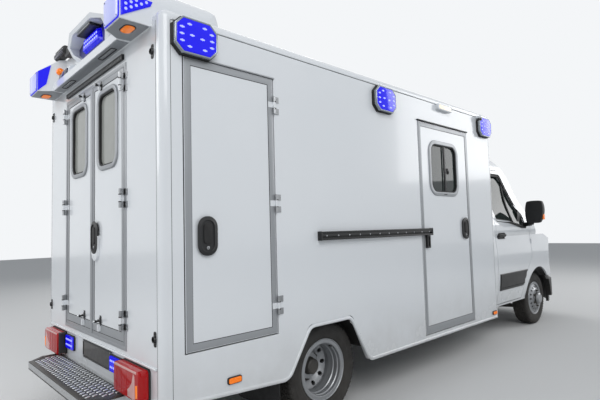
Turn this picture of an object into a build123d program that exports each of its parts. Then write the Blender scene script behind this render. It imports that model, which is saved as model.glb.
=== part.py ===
from build123d import *
import os
from math import cos, radians, sin

os.makedirs("parts", exist_ok=True)

# Ambulance: a panelled box body on a van chassis with a short-nosed cab.
# Millimetres. +X forward, +Y to the left, +Z up, the ground at Z = 0,
# the origin midway between the step's rear edge and the front bumper.

# Lengths along the vehicle
step_reach = 265
rear_overhang = 1316
wheelbase = 4325
front_overhang = 1004
box_length = 4147
cab_gap = 53
overall_length = step_reach + rear_overhang + wheelbase + front_overhang
rear_wall_x = step_reach - overall_length / 2
front_wall_x = rear_wall_x + box_length
rear_axle_x = rear_wall_x + rear_overhang
front_axle_x = rear_axle_x + wheelbase
nose_x = front_axle_x + front_overhang
cab_back_x = front_wall_x + cab_gap

# Box body
box_width = 2135
panel = 40
post_size = 60
seam_z = 2607
roof_height = 68
floor_top = 698
skirt_rear_z = 440
skirt_mid_z = 385
skirt_front_z = 326
half_box = box_width / 2
roof_top = seam_z + roof_height
floor_under = floor_top - panel
wall_inside = half_box - panel

# Clearances
seat_gap = 0.3
swing_gap = 6
pin_gap = 0.3

# Wheels and tyres
tyre_radius = 350
tyre_half = 97.5
bead_half = 74
bead_radius = 206
flange_radius = 221
flange_half = 84
barrel_inside = 194
disc_offset = 112.5
spindle_radius = 30
front_track_half = 830
kingpin_half = 680
twin_outer_half = 895
twin_inner_half = twin_outer_half - 2 * disc_offset
axle_z = tyre_radius

# Ladder frame
rail_inner_half = 330
rail_width = 66
rail_height = 150
rail_top = floor_under
rail_under = rail_top - rail_height
rail_rear_x = rear_wall_x + 90
rail_front_x = front_axle_x + 700
rail_mid_half = rail_inner_half + rail_width / 2


def side_plane(x, y, z, side):
    # local x points outboard, local y points up
    return Plane(origin=(x, y, z), x_dir=(0, side, 0), z_dir=(side, 0, 0))


# Tyres: one closed ring each, seated between the rim's flanges
tyre_stations = (
    # name, centre x, centre distances from the middle
    ("front_tyre", front_axle_x, (front_track_half,)),
    ("rear_tyres", rear_axle_x, (twin_outer_half, twin_inner_half)),
)
for side_name, side in (("left", 1), ("right", -1)):
    for tyre_name, centre_x, centre_halves in tyre_stations:
        with BuildPart() as tyres:
            for centre_half in centre_halves:
                with BuildSketch(side_plane(centre_x, side * centre_half, axle_z, side)):
                    with BuildLine():
                        Polyline(
                            (-bead_half, 226), (-bead_half, bead_radius), (bead_half, bead_radius),
                            (bead_half, 226),
                        )
                        ThreePointArc((bead_half, 226), (tyre_half, 283), (tyre_half - 14, 334))
                        Line((tyre_half - 14, 334), (tyre_half - 29, tyre_radius - 3))
                        ThreePointArc(
                            (tyre_half - 29, tyre_radius - 3), (0, tyre_radius),
                            (29 - tyre_half, tyre_radius - 3),
                        )
                        Line((29 - tyre_half, tyre_radius - 3), (14 - tyre_half, 334))
                        ThreePointArc((14 - tyre_half, 334), (-tyre_half, 283), (-bead_half, 226))
                    make_face()
                revolve(axis=Axis((centre_x, side * centre_half, axle_z), (0, side, 0)))
        tyres.part.label = f"{tyre_name}_{side_name}"
        export_step(tyres.part, f"parts/{tyre_name}_{side_name}.step")


def rim_outline(face):
    # closed (axial, radial) outline of a pressed steel rim and its disc;
    # face +1 puts the disc's bolting face outboard, -1 inboard
    well = bead_radius - seat_gap
    inside = bead_half + seat_gap
    barrel = [
        (-flange_half, barrel_inside), (-flange_half, flange_radius), (-inside, flange_radius),
        (-inside, well),
        (inside, well), (inside, flange_radius), (flange_half, flange_radius), (flange_half, barrel_inside),
        (72, barrel_inside),
    ]
    disc = [
        (90, 152), (disc_offset, 124), (disc_offset, 60), (disc_offset - 12, 60),
        (disc_offset - 12, 116), (78, 148), (56, barrel_inside),
    ]
    return [(face * a, r) for a, r in barrel + disc]


hub_radius = 72
cap_radius = 82
cap_reach = 52
hole_ring = 152
front_holes = 16
rear_holes = 10

for side_name, side in (("left", 1), ("right", -1)):
    # Front rim with its hub and the dark cap that stands proud of the disc
    front_centre = (front_axle_x, side * front_track_half, axle_z)
    front_plane = side_plane(*front_centre, side)
    spin_axis = Axis(front_centre, (0, side, 0))
    with BuildPart() as front_rim:
        with BuildSketch(front_plane):
            with BuildLine():
                Polyline(*rim_outline(1), close=True)
            make_face()
        revolve(axis=spin_axis)
        with BuildSketch(Plane(origin=front_centre, x_dir=(1, 0, 0), z_dir=(0, side, 0)).offset(60)):
            with PolarLocations(hole_ring, front_holes):
                Circle(13)
        extrude(amount=disc_offset - 50, mode=Mode.SUBTRACT)
        with BuildSketch(front_plane):
            with BuildLine():
                Polyline(
                    (0, spindle_radius + pin_gap), (0, hub_radius), (disc_offset, hub_radius),
                    (disc_offset, cap_radius),
                    (disc_offset + cap_reach - 14, cap_radius - 8),
                    (disc_offset + cap_reach, cap_radius - 24),
                    (disc_offset + cap_reach, 0), (disc_offset + 12, 0),
                    (disc_offset + 12, spindle_radius + pin_gap),
                    close=True,
                )
            make_face()
        revolve(axis=spin_axis)
    front_rim.part.label = f"front_rim_{side_name}"
    export_step(front_rim.part, f"parts/front_rim_{side_name}.step")

    # Twin rear rims bolted back to back on one hub, the outer one deep dished
    twin_face = twin_outer_half - disc_offset
    hub_centre = (rear_axle_x, side * twin_face, axle_z)
    spin_axis = Axis(hub_centre, (0, side, 0))
    with BuildPart() as rear_rims:
        for centre_half, face in ((twin_inner_half, 1), (twin_outer_half, -1)):
            with BuildSketch(side_plane(rear_axle_x, side * centre_half, axle_z, side)):
                with BuildLine():
                    Polyline(*rim_outline(face), close=True)
                make_face()
            revolve(axis=spin_axis)
        with BuildSketch(Plane(origin=hub_centre, x_dir=(1, 0, 0), z_dir=(0, side, 0)).offset(-60)):
            with PolarLocations(hole_ring, rear_holes):
                Circle(17)
        extrude(amount=120, mode=Mode.SUBTRACT)
        with BuildSketch(side_plane(*hub_centre, side)):
            with BuildLine():
                Polyline(
                    (-110, spindle_radius + pin_gap), (-110, hub_radius), (0, hub_radius),
                    (30, hub_radius), (30, 96), (44, 96),
                    (44, 62), (88, 54), (96, 44), (96, 0), (60, 0), (60, spindle_radius + pin_gap),
                    close=True,
                )
            make_face()
        revolve(axis=spin_axis)
    rear_rims.part.label = f"rear_rims_{side_name}"
    export_step(rear_rims.part, f"parts/rear_rims_{side_name}.step")

# Driveline: banjo axle with its spindles, propeller shaft and gearbox
banjo_radius = 150
tube_radius = 55
tube_half = twin_outer_half - disc_offset - 130
shaft_radius = 42
gearbox_front_x = front_axle_x - 330
gearbox_length = 520
gearbox_z = 470
with BuildPart() as driveline:
    with BuildSketch(Plane.XZ.offset(-tube_half)):
        with Locations((rear_axle_x, axle_z)):
            Circle(tube_radius)
    extrude(amount=2 * tube_half)
    spindle_half = twin_outer_half - disc_offset + 55
    with BuildSketch(Plane.XZ.offset(-spindle_half)):
        with Locations((rear_axle_x, axle_z)):
            Circle(spindle_radius)
    extrude(amount=2 * spindle_half)
    with Locations((rear_axle_x, 0, axle_z)):
        Sphere(banjo_radius)
    with BuildSketch(Plane.YZ.offset(rear_axle_x)):
        with Locations((0, axle_z)):
            Circle(70)
    extrude(amount=230)
    shaft_start = Vector(rear_axle_x + 200, 0, axle_z)
    shaft_end = Vector(gearbox_front_x - gearbox_length + 40, 0, gearbox_z)
    with BuildSketch(Plane(origin=shaft_start, z_dir=shaft_end - shaft_start)):
        Circle(shaft_radius)
    extrude(amount=(shaft_end - shaft_start).length)
    with BuildSketch(Plane.YZ.offset(gearbox_front_x - gearbox_length)):
        with Locations((0, gearbox_z)):
            RectangleRounded(200, 200, 50)
    with BuildSketch(Plane.YZ.offset(gearbox_front_x)):
        with Locations((0, gearbox_z + 10)):
            RectangleRounded(340, 330, 80)
    loft()
driveline.part.label = "driveline"
export_step(driveline.part, "parts/driveline.step")

# Engine: one plain block, and the radiator between the rails ahead of it
engine_length = 560
engine_width = 520
engine_under = 330
engine_top = 985
rail_end_plate = 24
radiator_depth = 60
radiator_x = rail_front_x - rail_end_plate - seat_gap - radiator_depth / 2
with BuildPart() as engine:
    with Locations((gearbox_front_x + engine_length / 2, 0, (engine_under + engine_top) / 2)):
        Box(engine_length, engine_width, engine_top - engine_under)
    fillet(engine.edges().filter_by(Axis.X), 40)
    with Locations((radiator_x, 0, 670)):
        Box(radiator_depth, 2 * (rail_inner_half - seat_gap), 440)
engine.part.label = "engine"
export_step(engine.part, "parts/engine.step")

# Ladder frame: two channel rails and the cross members that tie them
cross_members = (
    # x from the rear axle, height, drop under the rail's top
    (-1190, 120, 15),
    (-560, 90, 15),
    (0, 60, 10),
    (620, 90, 15),
    (1240, 90, 15),
    (1860, 90, 15),
    (2480, 90, 15),
    (3100, 90, 15),
)
web = 8
with BuildPart() as ladder_frame:
    with BuildSketch(Plane.YZ.offset(rail_rear_x)):
        for side in (1, -1):
            with Locations((side * rail_mid_half, rail_top - rail_height / 2)):
                Rectangle(rail_width, rail_height)
            with Locations((side * (rail_mid_half - web), rail_top - rail_height / 2)):
                Rectangle(rail_width - web, rail_height - 2 * web, mode=Mode.SUBTRACT)
    extrude(amount=rail_front_x - rail_rear_x)
    for from_axle, height, drop in cross_members:
        with Locations((rear_axle_x + from_axle, 0, rail_top - drop - height / 2)):
            Box(90, 2 * (rail_inner_half + rail_width - web), height)
    with Locations((rail_front_x - rail_end_plate / 2, 0, rail_top - rail_height / 2)):
        Box(rail_end_plate, 2 * (rail_inner_half + rail_width - web), rail_height - 2 * web)
ladder_frame.part.label = "ladder_frame"
export_step(ladder_frame.part, "parts/ladder_frame.step")

# Leaf springs: an arched pack each side, from a front bracket to a rear shackle
spring_half_span = 640
spring_width = 60
spring_leaf = 16
spring_seat_z = axle_z + tube_radius + seat_gap
spring_eye_z = rail_under - 42
leaf_table = (
    # leaf number, half span
    (0, spring_half_span),
    (1, 500),
    (2, 330),
)
with BuildPart() as leaf_springs:
    for side in (1, -1):
        with BuildSketch(Plane.XZ.offset(-side * rail_mid_half - spring_width / 2)):
            for number, half_span in leaf_table:
                low = spring_seat_z + (len(leaf_table) - 1 - number) * spring_leaf
                rise = (spring_eye_z - spring_seat_z - 2 * spring_leaf) * (half_span / spring_half_span) ** 2
                with BuildLine():
                    ThreePointArc(
                        (rear_axle_x - half_span, low + rise), (rear_axle_x, low),
                        (rear_axle_x + half_span, low + rise),
                    )
                    Line(
                        (rear_axle_x + half_span, low + rise),
                        (rear_axle_x + half_span, low + rise + spring_leaf),
                    )
                    ThreePointArc(
                        (rear_axle_x + half_span, low + rise + spring_leaf),
                        (rear_axle_x, low + spring_leaf),
                        (rear_axle_x - half_span, low + rise + spring_leaf),
                    )
                    Line(
                        (rear_axle_x - half_span, low + rise + spring_leaf),
                        (rear_axle_x - half_span, low + rise),
                    )
                make_face()
            for end in (1, -1):
                with Locations((rear_axle_x + end * spring_half_span, (spring_eye_z + rail_under) / 2)):
                    Rectangle(56, rail_under - spring_eye_z + 36)
            with Locations((rear_axle_x, spring_seat_z + 1.5 * spring_leaf)):
                Rectangle(110, 3 * spring_leaf)
        extrude(amount=spring_width)
    with Locations((rear_axle_x, 0, rail_under + 100)):
        Box(2 * spring_half_span + 400, 2 * half_box, 200, mode=Mode.SUBTRACT)
leaf_springs.part.label = "leaf_springs"
export_step(leaf_springs.part, "parts/leaf_springs.step")

# Front suspension: cross beam, lower arms to the ball joints, struts and towers
ball_low_z = 232
ball_high_z = 520
strut_radius = 34
strut_top_z = 880
beam_top = engine_under
beam_height = 74
with BuildPart() as front_suspension:
    with Locations((front_axle_x, 0, beam_top - beam_height / 2)):
        Box(210, 2 * 430, beam_height)
    for side in (1, -1):
        with BuildSketch(Plane.XY.offset(ball_low_z - 34)):
            with BuildLine():
                Polyline(
                    (front_axle_x - 150, side * 400), (front_axle_x + 110, side * 400),
                    (front_axle_x + 36, side * kingpin_half),
                    (front_axle_x - 36, side * kingpin_half), close=True,
                )
            make_face()
            with Locations((front_axle_x, side * kingpin_half)):
                Circle(38)
        extrude(amount=34)
        with Locations((front_axle_x, side * 415, (beam_top + ball_low_z) / 2 - 17)):
            Box(150, 30, beam_top - ball_low_z + 34)
        with BuildSketch(Plane.XY.offset(ball_high_z)):
            with Locations((front_axle_x, side * kingpin_half)):
                Circle(strut_radius)
        extrude(amount=strut_top_z - ball_high_z)
        with Locations((front_axle_x, side * (rail_inner_half + kingpin_half + 50) / 2, strut_top_z - 20)):
            Box(110, kingpin_half + 50 - rail_inner_half, 40)
        with Locations((front_axle_x, side * rail_mid_half, (rail_top + strut_top_z) / 2)):
            Box(110, rail_width, strut_top_z - rail_top)
        with Locations((front_axle_x, side * rail_mid_half, (beam_top + rail_under) / 2)):
            Box(110, rail_width, rail_under - beam_top)
front_suspension.part.label = "front_suspension"
export_step(front_suspension.part, "parts/front_suspension.step")

# Steering knuckles: an upright between the ball joints and the wheel's spindle
for side_name, side in (("left", 1), ("right", -1)):
    with BuildPart() as knuckle:
        with BuildSketch(Plane.XY.offset(ball_low_z + seat_gap)):
            with Locations((front_axle_x, side * kingpin_half)):
                Circle(27)
        extrude(amount=ball_high_z - ball_low_z - 2 * seat_gap)
        with BuildSketch(
            Plane(origin=(front_axle_x, side * kingpin_half, axle_z), x_dir=(1, 0, 0), z_dir=(0, side, 0))
        ):
            Circle(62)
        extrude(amount=100)
        with BuildSketch(
            Plane(origin=(front_axle_x, side * kingpin_half, axle_z), x_dir=(1, 0, 0), z_dir=(0, side, 0))
        ):
            Circle(spindle_radius)
        extrude(amount=front_track_half - kingpin_half + disc_offset + 6)
        with Locations((front_axle_x - 75, side * (kingpin_half + 10), axle_z - 60)):
            Box(150, 26, 30)
    knuckle.part.label = f"knuckle_{side_name}"
    export_step(knuckle.part, f"parts/knuckle_{side_name}.step")

# Fuel tank hung from the left rail, exhaust and silencer from the right one
tank_length = 900
tank_x = rear_axle_x + 1400
with BuildPart() as fuel_tank:
    with Locations((tank_x, rail_inner_half + rail_width + 30 + 190, 465)):
        Box(tank_length, 380, 300)
    fillet(fuel_tank.edges().filter_by(Axis.X), 60)
    for end in (-1, 1):
        with Locations((tank_x + end * 300, rail_inner_half + rail_width + 40, 560)):
            Box(50, 80, 60)
    with Locations((tank_x, rail_mid_half, 560)):
        Box(tank_length, rail_width, 200, mode=Mode.SUBTRACT)
fuel_tank.part.label = "fuel_tank"
export_step(fuel_tank.part, "parts/fuel_tank.step")

pipe_radius = 32
silencer_radius = 95
exhaust_y = -(rail_inner_half + rail_width + 130)
exhaust_z = 520
exhaust_front_x = front_axle_x - 700
silencer_length = 620
silencer_rear_x = exhaust_front_x - 1750
with BuildPart() as exhaust:
    with BuildLine() as pipe_run:
        FilletPolyline(
            (exhaust_front_x, -rail_inner_half + 80, exhaust_z - 60),
            (exhaust_front_x - 800, -rail_inner_half + 80, exhaust_z - 60),
            (exhaust_front_x - 980, exhaust_y, exhaust_z - 60),
            (silencer_rear_x + silencer_length - 20, exhaust_y, exhaust_z - 60),
            radius=90,
        )
    with BuildSketch(Plane(origin=pipe_run.line @ 0, z_dir=pipe_run.line % 0)):
        Circle(pipe_radius)
    sweep()
    with BuildSketch(Plane.YZ.offset(silencer_rear_x)):
        with Locations((exhaust_y, exhaust_z - 60)):
            Circle(silencer_radius)
    extrude(amount=silencer_length)
    with BuildSketch(Plane.YZ.offset(silencer_rear_x - 400)):
        with Locations((exhaust_y, exhaust_z - 60)):
            Circle(pipe_radius)
    extrude(amount=420)
    for from_rear in (130, 480):
        with Locations((silencer_rear_x + from_rear, exhaust_y + 60, exhaust_z + 10)):
            Box(30, 140, 20)
exhaust.part.label = "exhaust"
export_step(exhaust.part, "parts/exhaust.step")
# Box body: a side wall sketch lies in X and Z and grows towards -Y
door_gap = 8
post_rear_x = rear_wall_x + post_size
post_front_x = front_wall_x - post_size
arch_foot_half = 436
arch_top_half = 232
arch_centre_x = rear_axle_x + 14
arch_top_z = 722
arch_corner = 70

locker_door = (
    # distance ahead of the rear wall to the leaf's rear edge and front edge, then its foot and head
    140, 810, 716, 2412,
)
slide_door = (2595, 3550, 390, 2389)


def wall_plane(y):
    return Plane(origin=(0, y, 0), x_dir=(1, 0, 0), z_dir=(0, -1, 0))


def leaf_centre(door):
    rear_edge, front_edge, foot, head = door
    return rear_wall_x + (rear_edge + front_edge) / 2, (foot + head) / 2


def leaf_size(door, grow=0):
    rear_edge, front_edge, foot, head = door
    return front_edge - rear_edge + 2 * grow, head - foot + 2 * grow


for side_name, wall_y, openings in (
    ("left", half_box, (locker_door,)),
    ("right", -wall_inside, (locker_door, slide_door)),
):
    with BuildPart() as box_wall:
        with BuildSketch(wall_plane(wall_y)):
            with BuildLine():
                Polyline(
                    (post_rear_x, seam_z), (post_rear_x, skirt_rear_z),
                    (arch_centre_x - arch_foot_half, skirt_mid_z),
                    (arch_centre_x - arch_top_half, arch_top_z),
                    (arch_centre_x + arch_top_half, arch_top_z),
                    (arch_centre_x + arch_foot_half, skirt_front_z + 8), (post_front_x, skirt_front_z),
                    (post_front_x, seam_z),
                    close=True,
                )
            make_face()
        extrude(amount=panel)
        corners = box_wall.edges().filter_by(Axis.Y).filter_by(
            lambda edge: abs(edge.center().X - arch_centre_x) < arch_foot_half + 5
            and edge.center().Z < arch_top_z + 5
        )
        fillet(corners, arch_corner - 10)
        for door in openings:
            with BuildSketch(wall_plane(wall_y)):
                with Locations(leaf_centre(door)):
                    Rectangle(*leaf_size(door, door_gap))
            extrude(amount=panel, mode=Mode.SUBTRACT)
    box_wall.part.label = f"box_wall_{side_name}"
    export_step(box_wall.part, f"parts/box_wall_{side_name}.step")

# Corner posts: rounded extrusions between the walls
post_round = 54
with BuildPart() as corner_posts:
    for post_x, foot_z, along in ((rear_wall_x, skirt_rear_z, 1), (front_wall_x, skirt_front_z, -1)):
        for side in (1, -1):
            with BuildSketch(Plane.XY.offset(foot_z)):
                with BuildLine():
                    Line(
                        (post_x + along * post_size, side * half_box),
                        (post_x + along * post_round, side * half_box),
                    )
                    ThreePointArc(
                        (post_x + along * post_round, side * half_box),
                        (post_x + along * post_round * (1 - cos(radians(45))), side * (half_box - post_round * (1 - cos(radians(45))))),
                        (post_x, side * (half_box - post_round)),
                    )
                    Polyline(
                        (post_x, side * (half_box - post_round)), (post_x, side * (half_box - post_size)),
                        (post_x + along * panel, side * (half_box - post_size)),
                        (post_x + along * panel, side * (half_box - panel)),
                        (post_x + along * post_size, side * (half_box - panel)),
                        (post_x + along * post_size, side * half_box),
                    )
                make_face()
            extrude(amount=seam_z - foot_z)
corner_posts.part.label = "corner_posts"
export_step(corner_posts.part, "parts/corner_posts.step")

# Rear wall round the double doors
rear_door_half = 567
rear_door_foot = floor_top
rear_door_head = 2460
rear_wall_foot = 648
rear_wall_half = half_box - post_size
with BuildPart() as box_rear_wall:
    with BuildSketch(Plane.YZ.offset(rear_wall_x)):
        with Locations((0, (rear_wall_foot + seam_z) / 2)):
            Rectangle(2 * rear_wall_half, seam_z - rear_wall_foot)
        with Locations((0, (rear_door_foot + rear_door_head) / 2)):
            Rectangle(
                2 * (rear_door_half + door_gap), rear_door_head - rear_door_foot + 2 * door_gap,
                mode=Mode.SUBTRACT,
            )
    extrude(amount=panel)
box_rear_wall.part.label = "box_rear_wall"
export_step(box_rear_wall.part, "parts/box_rear_wall.step")

# Front wall behind the cab
with BuildPart() as box_front_wall:
    with BuildSketch(Plane.YZ.offset(front_wall_x - panel)):
        with Locations((0, (floor_under + seam_z) / 2)):
            Rectangle(2 * rear_wall_half, seam_z - floor_under)
    extrude(amount=panel)
box_front_wall.part.label = "box_front_wall"
export_step(box_front_wall.part, "parts/box_front_wall.step")

# Floor with a wheelhouse over each pair of twin wheels
house_skin = 15
house_inner_half = twin_inner_half - tyre_half - 45
house_half_length = 430
house_top = 2 * tyre_radius + 105
# four holes that take the stretcher table's bolts
table_x = rear_axle_x + 1550
table_circle = 400
table_bolt_radius = 5.5
with BuildPart() as box_floor:
    with BuildSketch(Plane.XY.offset(floor_under)):
        with Locations(((rear_wall_x + front_wall_x) / 2, 0)):
            Rectangle(box_length - 2 * panel, 2 * wall_inside)
    extrude(amount=panel)
    for side in (1, -1):
        house_y = side * (wall_inside + house_inner_half) / 2
        house_width = wall_inside - house_inner_half
        with Locations((rear_axle_x, house_y, (floor_under + house_top) / 2)):
            Box(2 * house_half_length, house_width, house_top - floor_under)
        with Locations(
            (rear_axle_x, house_y + side * house_skin, (floor_under + house_top) / 2 - house_skin)
        ):
            Box(
                2 * (house_half_length - house_skin), house_width, house_top - floor_under,
                mode=Mode.SUBTRACT,
            )
    with Locations(Pos(table_x, 0, floor_top)):
        with PolarLocations(table_circle / 2, 4, start_angle=45):
            Hole(table_bolt_radius, depth=panel)
box_floor.part.label = "box_floor"
export_step(box_floor.part, "parts/box_floor.step")

# Roof with its rounded edge rail
roof_round = 52
with BuildPart() as box_roof:
    with BuildSketch(Plane.XY.offset(seam_z)):
        with Locations(((rear_wall_x + front_wall_x) / 2, 0)):
            RectangleRounded(box_length, box_width, post_round)
    extrude(amount=roof_height)
    fillet(box_roof.faces().sort_by(Axis.Z)[-1].edges(), roof_round)
box_roof.part.label = "box_roof"
export_step(box_roof.part, "parts/box_roof.step")

# Hinges: vertical pins held by two fixed knuckles, the leaf's knuckle between them
knuckle_radius = 9
pin_radius = 5
hinge_half = 60
hinge_mid_half = 20
hinge_plate = 5
hinge_reach = 46
locker_proud = 12
rear_proud = 30
locker_heights = (2235, 1568, 894)
rear_heights = (2355, 1615, 860)
locker_axis_x = rear_wall_x + locker_door[1] + door_gap / 2
rear_axis_half = rear_door_half + door_gap / 2
hinge_rows = (
    # pin x, pin y, outward x, outward y, towards the wall x, towards the wall y, proud of the face, heights
    (locker_axis_x, half_box + locker_proud, 0, 1, 1, 0, locker_proud, locker_heights),
    (locker_axis_x, -half_box - locker_proud, 0, -1, 1, 0, locker_proud, locker_heights),
    (rear_wall_x - rear_proud, rear_axis_half, -1, 0, 0, 1, rear_proud, rear_heights),
    (rear_wall_x - rear_proud, -rear_axis_half, -1, 0, 0, -1, rear_proud, rear_heights),
)


def plate_outline(row, away):
    # corners of a hinge plate and its stem seen from above, away = 1 on the wall and -1 on the leaf
    pin_x, pin_y, out_x, out_y, wall_x, wall_y, proud, heights = row
    corners = (
        (0, 0), (8, 0), (8, hinge_plate - proud), (hinge_reach, hinge_plate - proud),
        (hinge_reach, -proud), (0, -proud),
    )
    return [
        (pin_x + away * along * wall_x + out * out_x, pin_y + away * along * wall_y + out * out_y)
        for along, out in corners
    ]


with BuildPart() as wall_hinges:
    for row in hinge_rows:
        pin_place = (row[0], row[1])
        for height in row[7]:
            with BuildSketch(Plane.XY.offset(height - hinge_half)):
                with Locations(pin_place):
                    Circle(pin_radius)
            extrude(amount=2 * hinge_half)
            for foot in (height - hinge_half, height + hinge_mid_half):
                with BuildSketch(Plane.XY.offset(foot)):
                    with Locations(pin_place):
                        Circle(knuckle_radius)
                    with BuildLine():
                        Polyline(*plate_outline(row, 1), close=True)
                    make_face()
                extrude(amount=hinge_half - hinge_mid_half)
wall_hinges.part.label = "wall_hinges"
export_step(wall_hinges.part, "parts/wall_hinges.step")

# Locker doors: a framed leaf as thick as the wall, hinged at its front edge
grip_width = 108
grip_height = 203
grip_proud = 16
locker_grip = (280, 1366)
for side_name, side, row in (("left", 1, hinge_rows[0]), ("right", -1, hinge_rows[1])):
    face_y = side * half_box
    with BuildPart() as locker_leaf:
        with BuildSketch(wall_plane(half_box if side > 0 else -wall_inside)):
            with Locations(leaf_centre(locker_door)):
                Rectangle(*leaf_size(locker_door))
        extrude(amount=panel)
        with BuildSketch(wall_plane(face_y + (grip_proud if side > 0 else 0))):
            with Locations((rear_wall_x + locker_grip[0], locker_grip[1])):
                SlotOverall(grip_height, grip_width, rotation=90)
        extrude(amount=grip_proud)
        for height in row[7]:
            with BuildSketch(Plane.XY.offset(height - hinge_mid_half + 1)):
                with Locations((row[0], row[1])):
                    Circle(knuckle_radius)
                with BuildLine():
                    Polyline(*plate_outline(row, -1), close=True)
                make_face()
                with Locations((row[0], row[1])):
                    Circle(pin_radius + pin_gap, mode=Mode.SUBTRACT)
            extrude(amount=2 * hinge_mid_half - 2)
    locker_leaf.part.label = f"locker_door_{side_name}"
    export_step(locker_leaf.part, f"parts/locker_door_{side_name}.step")

# Rear doors: two leaves with rounded windows, their grip and hold-open catches
rear_split_gap = 10
rear_window_half = 285
rear_window = (157, 510, 70)
rear_window_z = 2112
rear_grip_z = 1312
catch_size = 44
catch_proud = 22
glass_thickness = 6
rear_leaf_width = rear_door_half - rear_split_gap / 2
for side_name, side, row in (("left", 1, hinge_rows[2]), ("right", -1, hinge_rows[3])):
    leaf_mid_y = side * (rear_split_gap / 2 + rear_leaf_width / 2)
    with BuildPart() as rear_leaf:
        with BuildSketch(Plane.YZ.offset(rear_wall_x)):
            with Locations((leaf_mid_y, (rear_door_foot + rear_door_head) / 2)):
                Rectangle(rear_leaf_width, rear_door_head - rear_door_foot)
            with Locations((side * rear_window_half, rear_window_z)):
                RectangleRounded(2 * rear_window[0], rear_window[1], rear_window[2], mode=Mode.SUBTRACT)
        extrude(amount=panel)
        for catch_half, catch_z in ((170, 2425), (160, 760)):
            with Locations((rear_wall_x - catch_proud / 2, side * catch_half, catch_z)):
                Box(catch_proud, 18, catch_size)
        if side < 0:
            with BuildSketch(Plane.YZ.offset(rear_wall_x - grip_proud)):
                with Locations((side * 80, rear_grip_z)):
                    SlotOverall(grip_height, grip_width, rotation=90)
            extrude(amount=grip_proud)
        for height in row[7]:
            with BuildSketch(Plane.XY.offset(height - hinge_mid_half + 1)):
                with Locations((row[0], row[1])):
                    Circle(knuckle_radius)
                with BuildLine():
                    Polyline(*plate_outline(row, -1), close=True)
                make_face()
                with Locations((row[0], row[1])):
                    Circle(pin_radius + pin_gap, mode=Mode.SUBTRACT)
            extrude(amount=2 * hinge_mid_half - 2)
    rear_leaf.part.label = f"rear_door_{side_name}"
    export_step(rear_leaf.part, f"parts/rear_door_{side_name}.step")
    with BuildPart() as rear_window_pane:
        with BuildSketch(Plane.YZ.offset(rear_wall_x + 12)):
            with Locations((side * rear_window_half, rear_window_z)):
                RectangleRounded(
                    2 * (rear_window[0] - seat_gap), rear_window[1] - 2 * seat_gap, rear_window[2] - seat_gap
                )
        extrude(amount=glass_thickness)
    rear_window_pane.part.label = f"rear_window_{side_name}"
    export_step(rear_window_pane.part, f"parts/rear_window_{side_name}.step")

# Sliding side door in the right wall, its two-pane window, its rail and carrier
slide_window_centre = (rear_wall_x + 3046, 1960)
slide_window = (500, 484, 90)
slide_grip = (3420, 1357)
with BuildPart() as sliding_door:
    with BuildSketch(wall_plane(-wall_inside)):
        with Locations(leaf_centre(slide_door)):
            Rectangle(*leaf_size(slide_door))
        with Locations(slide_window_centre):
            RectangleRounded(*slide_window, mode=Mode.SUBTRACT)
    extrude(amount=panel)
    with BuildSketch(wall_plane(-half_box)):
        with Locations((rear_wall_x + slide_grip[0], slide_grip[1])):
            SlotOverall(grip_height, grip_width, rotation=90)
    extrude(amount=grip_proud)
sliding_door.part.label = "sliding_door"
export_step(sliding_door.part, "parts/sliding_door.step")

with BuildPart() as sliding_window:
    with BuildSketch(wall_plane(-half_box + 18)):
        with Locations(slide_window_centre):
            RectangleRounded(
                slide_window[0] - 2 * seat_gap, slide_window[1] - 2 * seat_gap,
                slide_window[2] - seat_gap,
            )
    extrude(amount=glass_thickness)
    with BuildSketch(wall_plane(-half_box + 18 + glass_thickness)):
        with Locations(slide_window_centre):
            Rectangle(26, slide_window[1] - 20)
    extrude(amount=20)
sliding_window.part.label = "sliding_window"
export_step(sliding_window.part, "parts/sliding_window.step")

rail_start = 1209
rail_end = 2725
slide_rail_z = 1338
slide_rail_height = 60
slide_rail_proud = 34
carrier = (2645, 2697, 1185)
with BuildPart() as slide_rail:
    with BuildSketch(Plane.YZ.offset(rear_wall_x + rail_start)):
        with Locations((-half_box - slide_rail_proud / 2, slide_rail_z)):
            Rectangle(slide_rail_proud, slide_rail_height)
        with Locations((-half_box - slide_rail_proud + 8, slide_rail_z - 12)):
            Rectangle(18, 18, mode=Mode.SUBTRACT)
    extrude(amount=rail_end - rail_start)
    with BuildSketch(wall_plane(-half_box)):
        with Locations((rear_wall_x + (carrier[0] + carrier[1]) / 2, (carrier[2] + slide_rail_z - 30) / 2)):
            Rectangle(carrier[1] - carrier[0], slide_rail_z - 30 - carrier[2])
            Rectangle(carrier[1] - carrier[0] - 28, slide_rail_z - 60 - carrier[2], mode=Mode.SUBTRACT)
    extrude(amount=26)
slide_rail.part.label = "slide_rail"
export_step(slide_rail.part, "parts/slide_rail.step")
# Cab: lofted plan sections above the belt, three crossed outlines below it
cab_skin = 60
belt_z = 1240
sill_z = 400
cowl_x = front_axle_x + 265
seam_x = cab_back_x + 1208
firewall_x = cab_back_x + 1062
firewall_skin = 40
bonnet_half = 715
bonnet_skin = 30
bonnet_foot = 935
lamp_foot = 690
lamp_rear_x = front_axle_x + 560
grille_half = 505
cab_floor_z = rail_top
tunnel_half = 430
greenhouse_rows = (
    # height, half width, pillar ahead of the cab's back, windscreen middle ahead of the cab's back
    (belt_z, 985, 1420, 1700),
    (1600, 925, 1170, 1425),
    (1950, 862, 905, 1105),
    (2170, 800, 715, 885),
    (2290, 690, 560, 720),
    (2340, 480, 380, 520),
)


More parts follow.
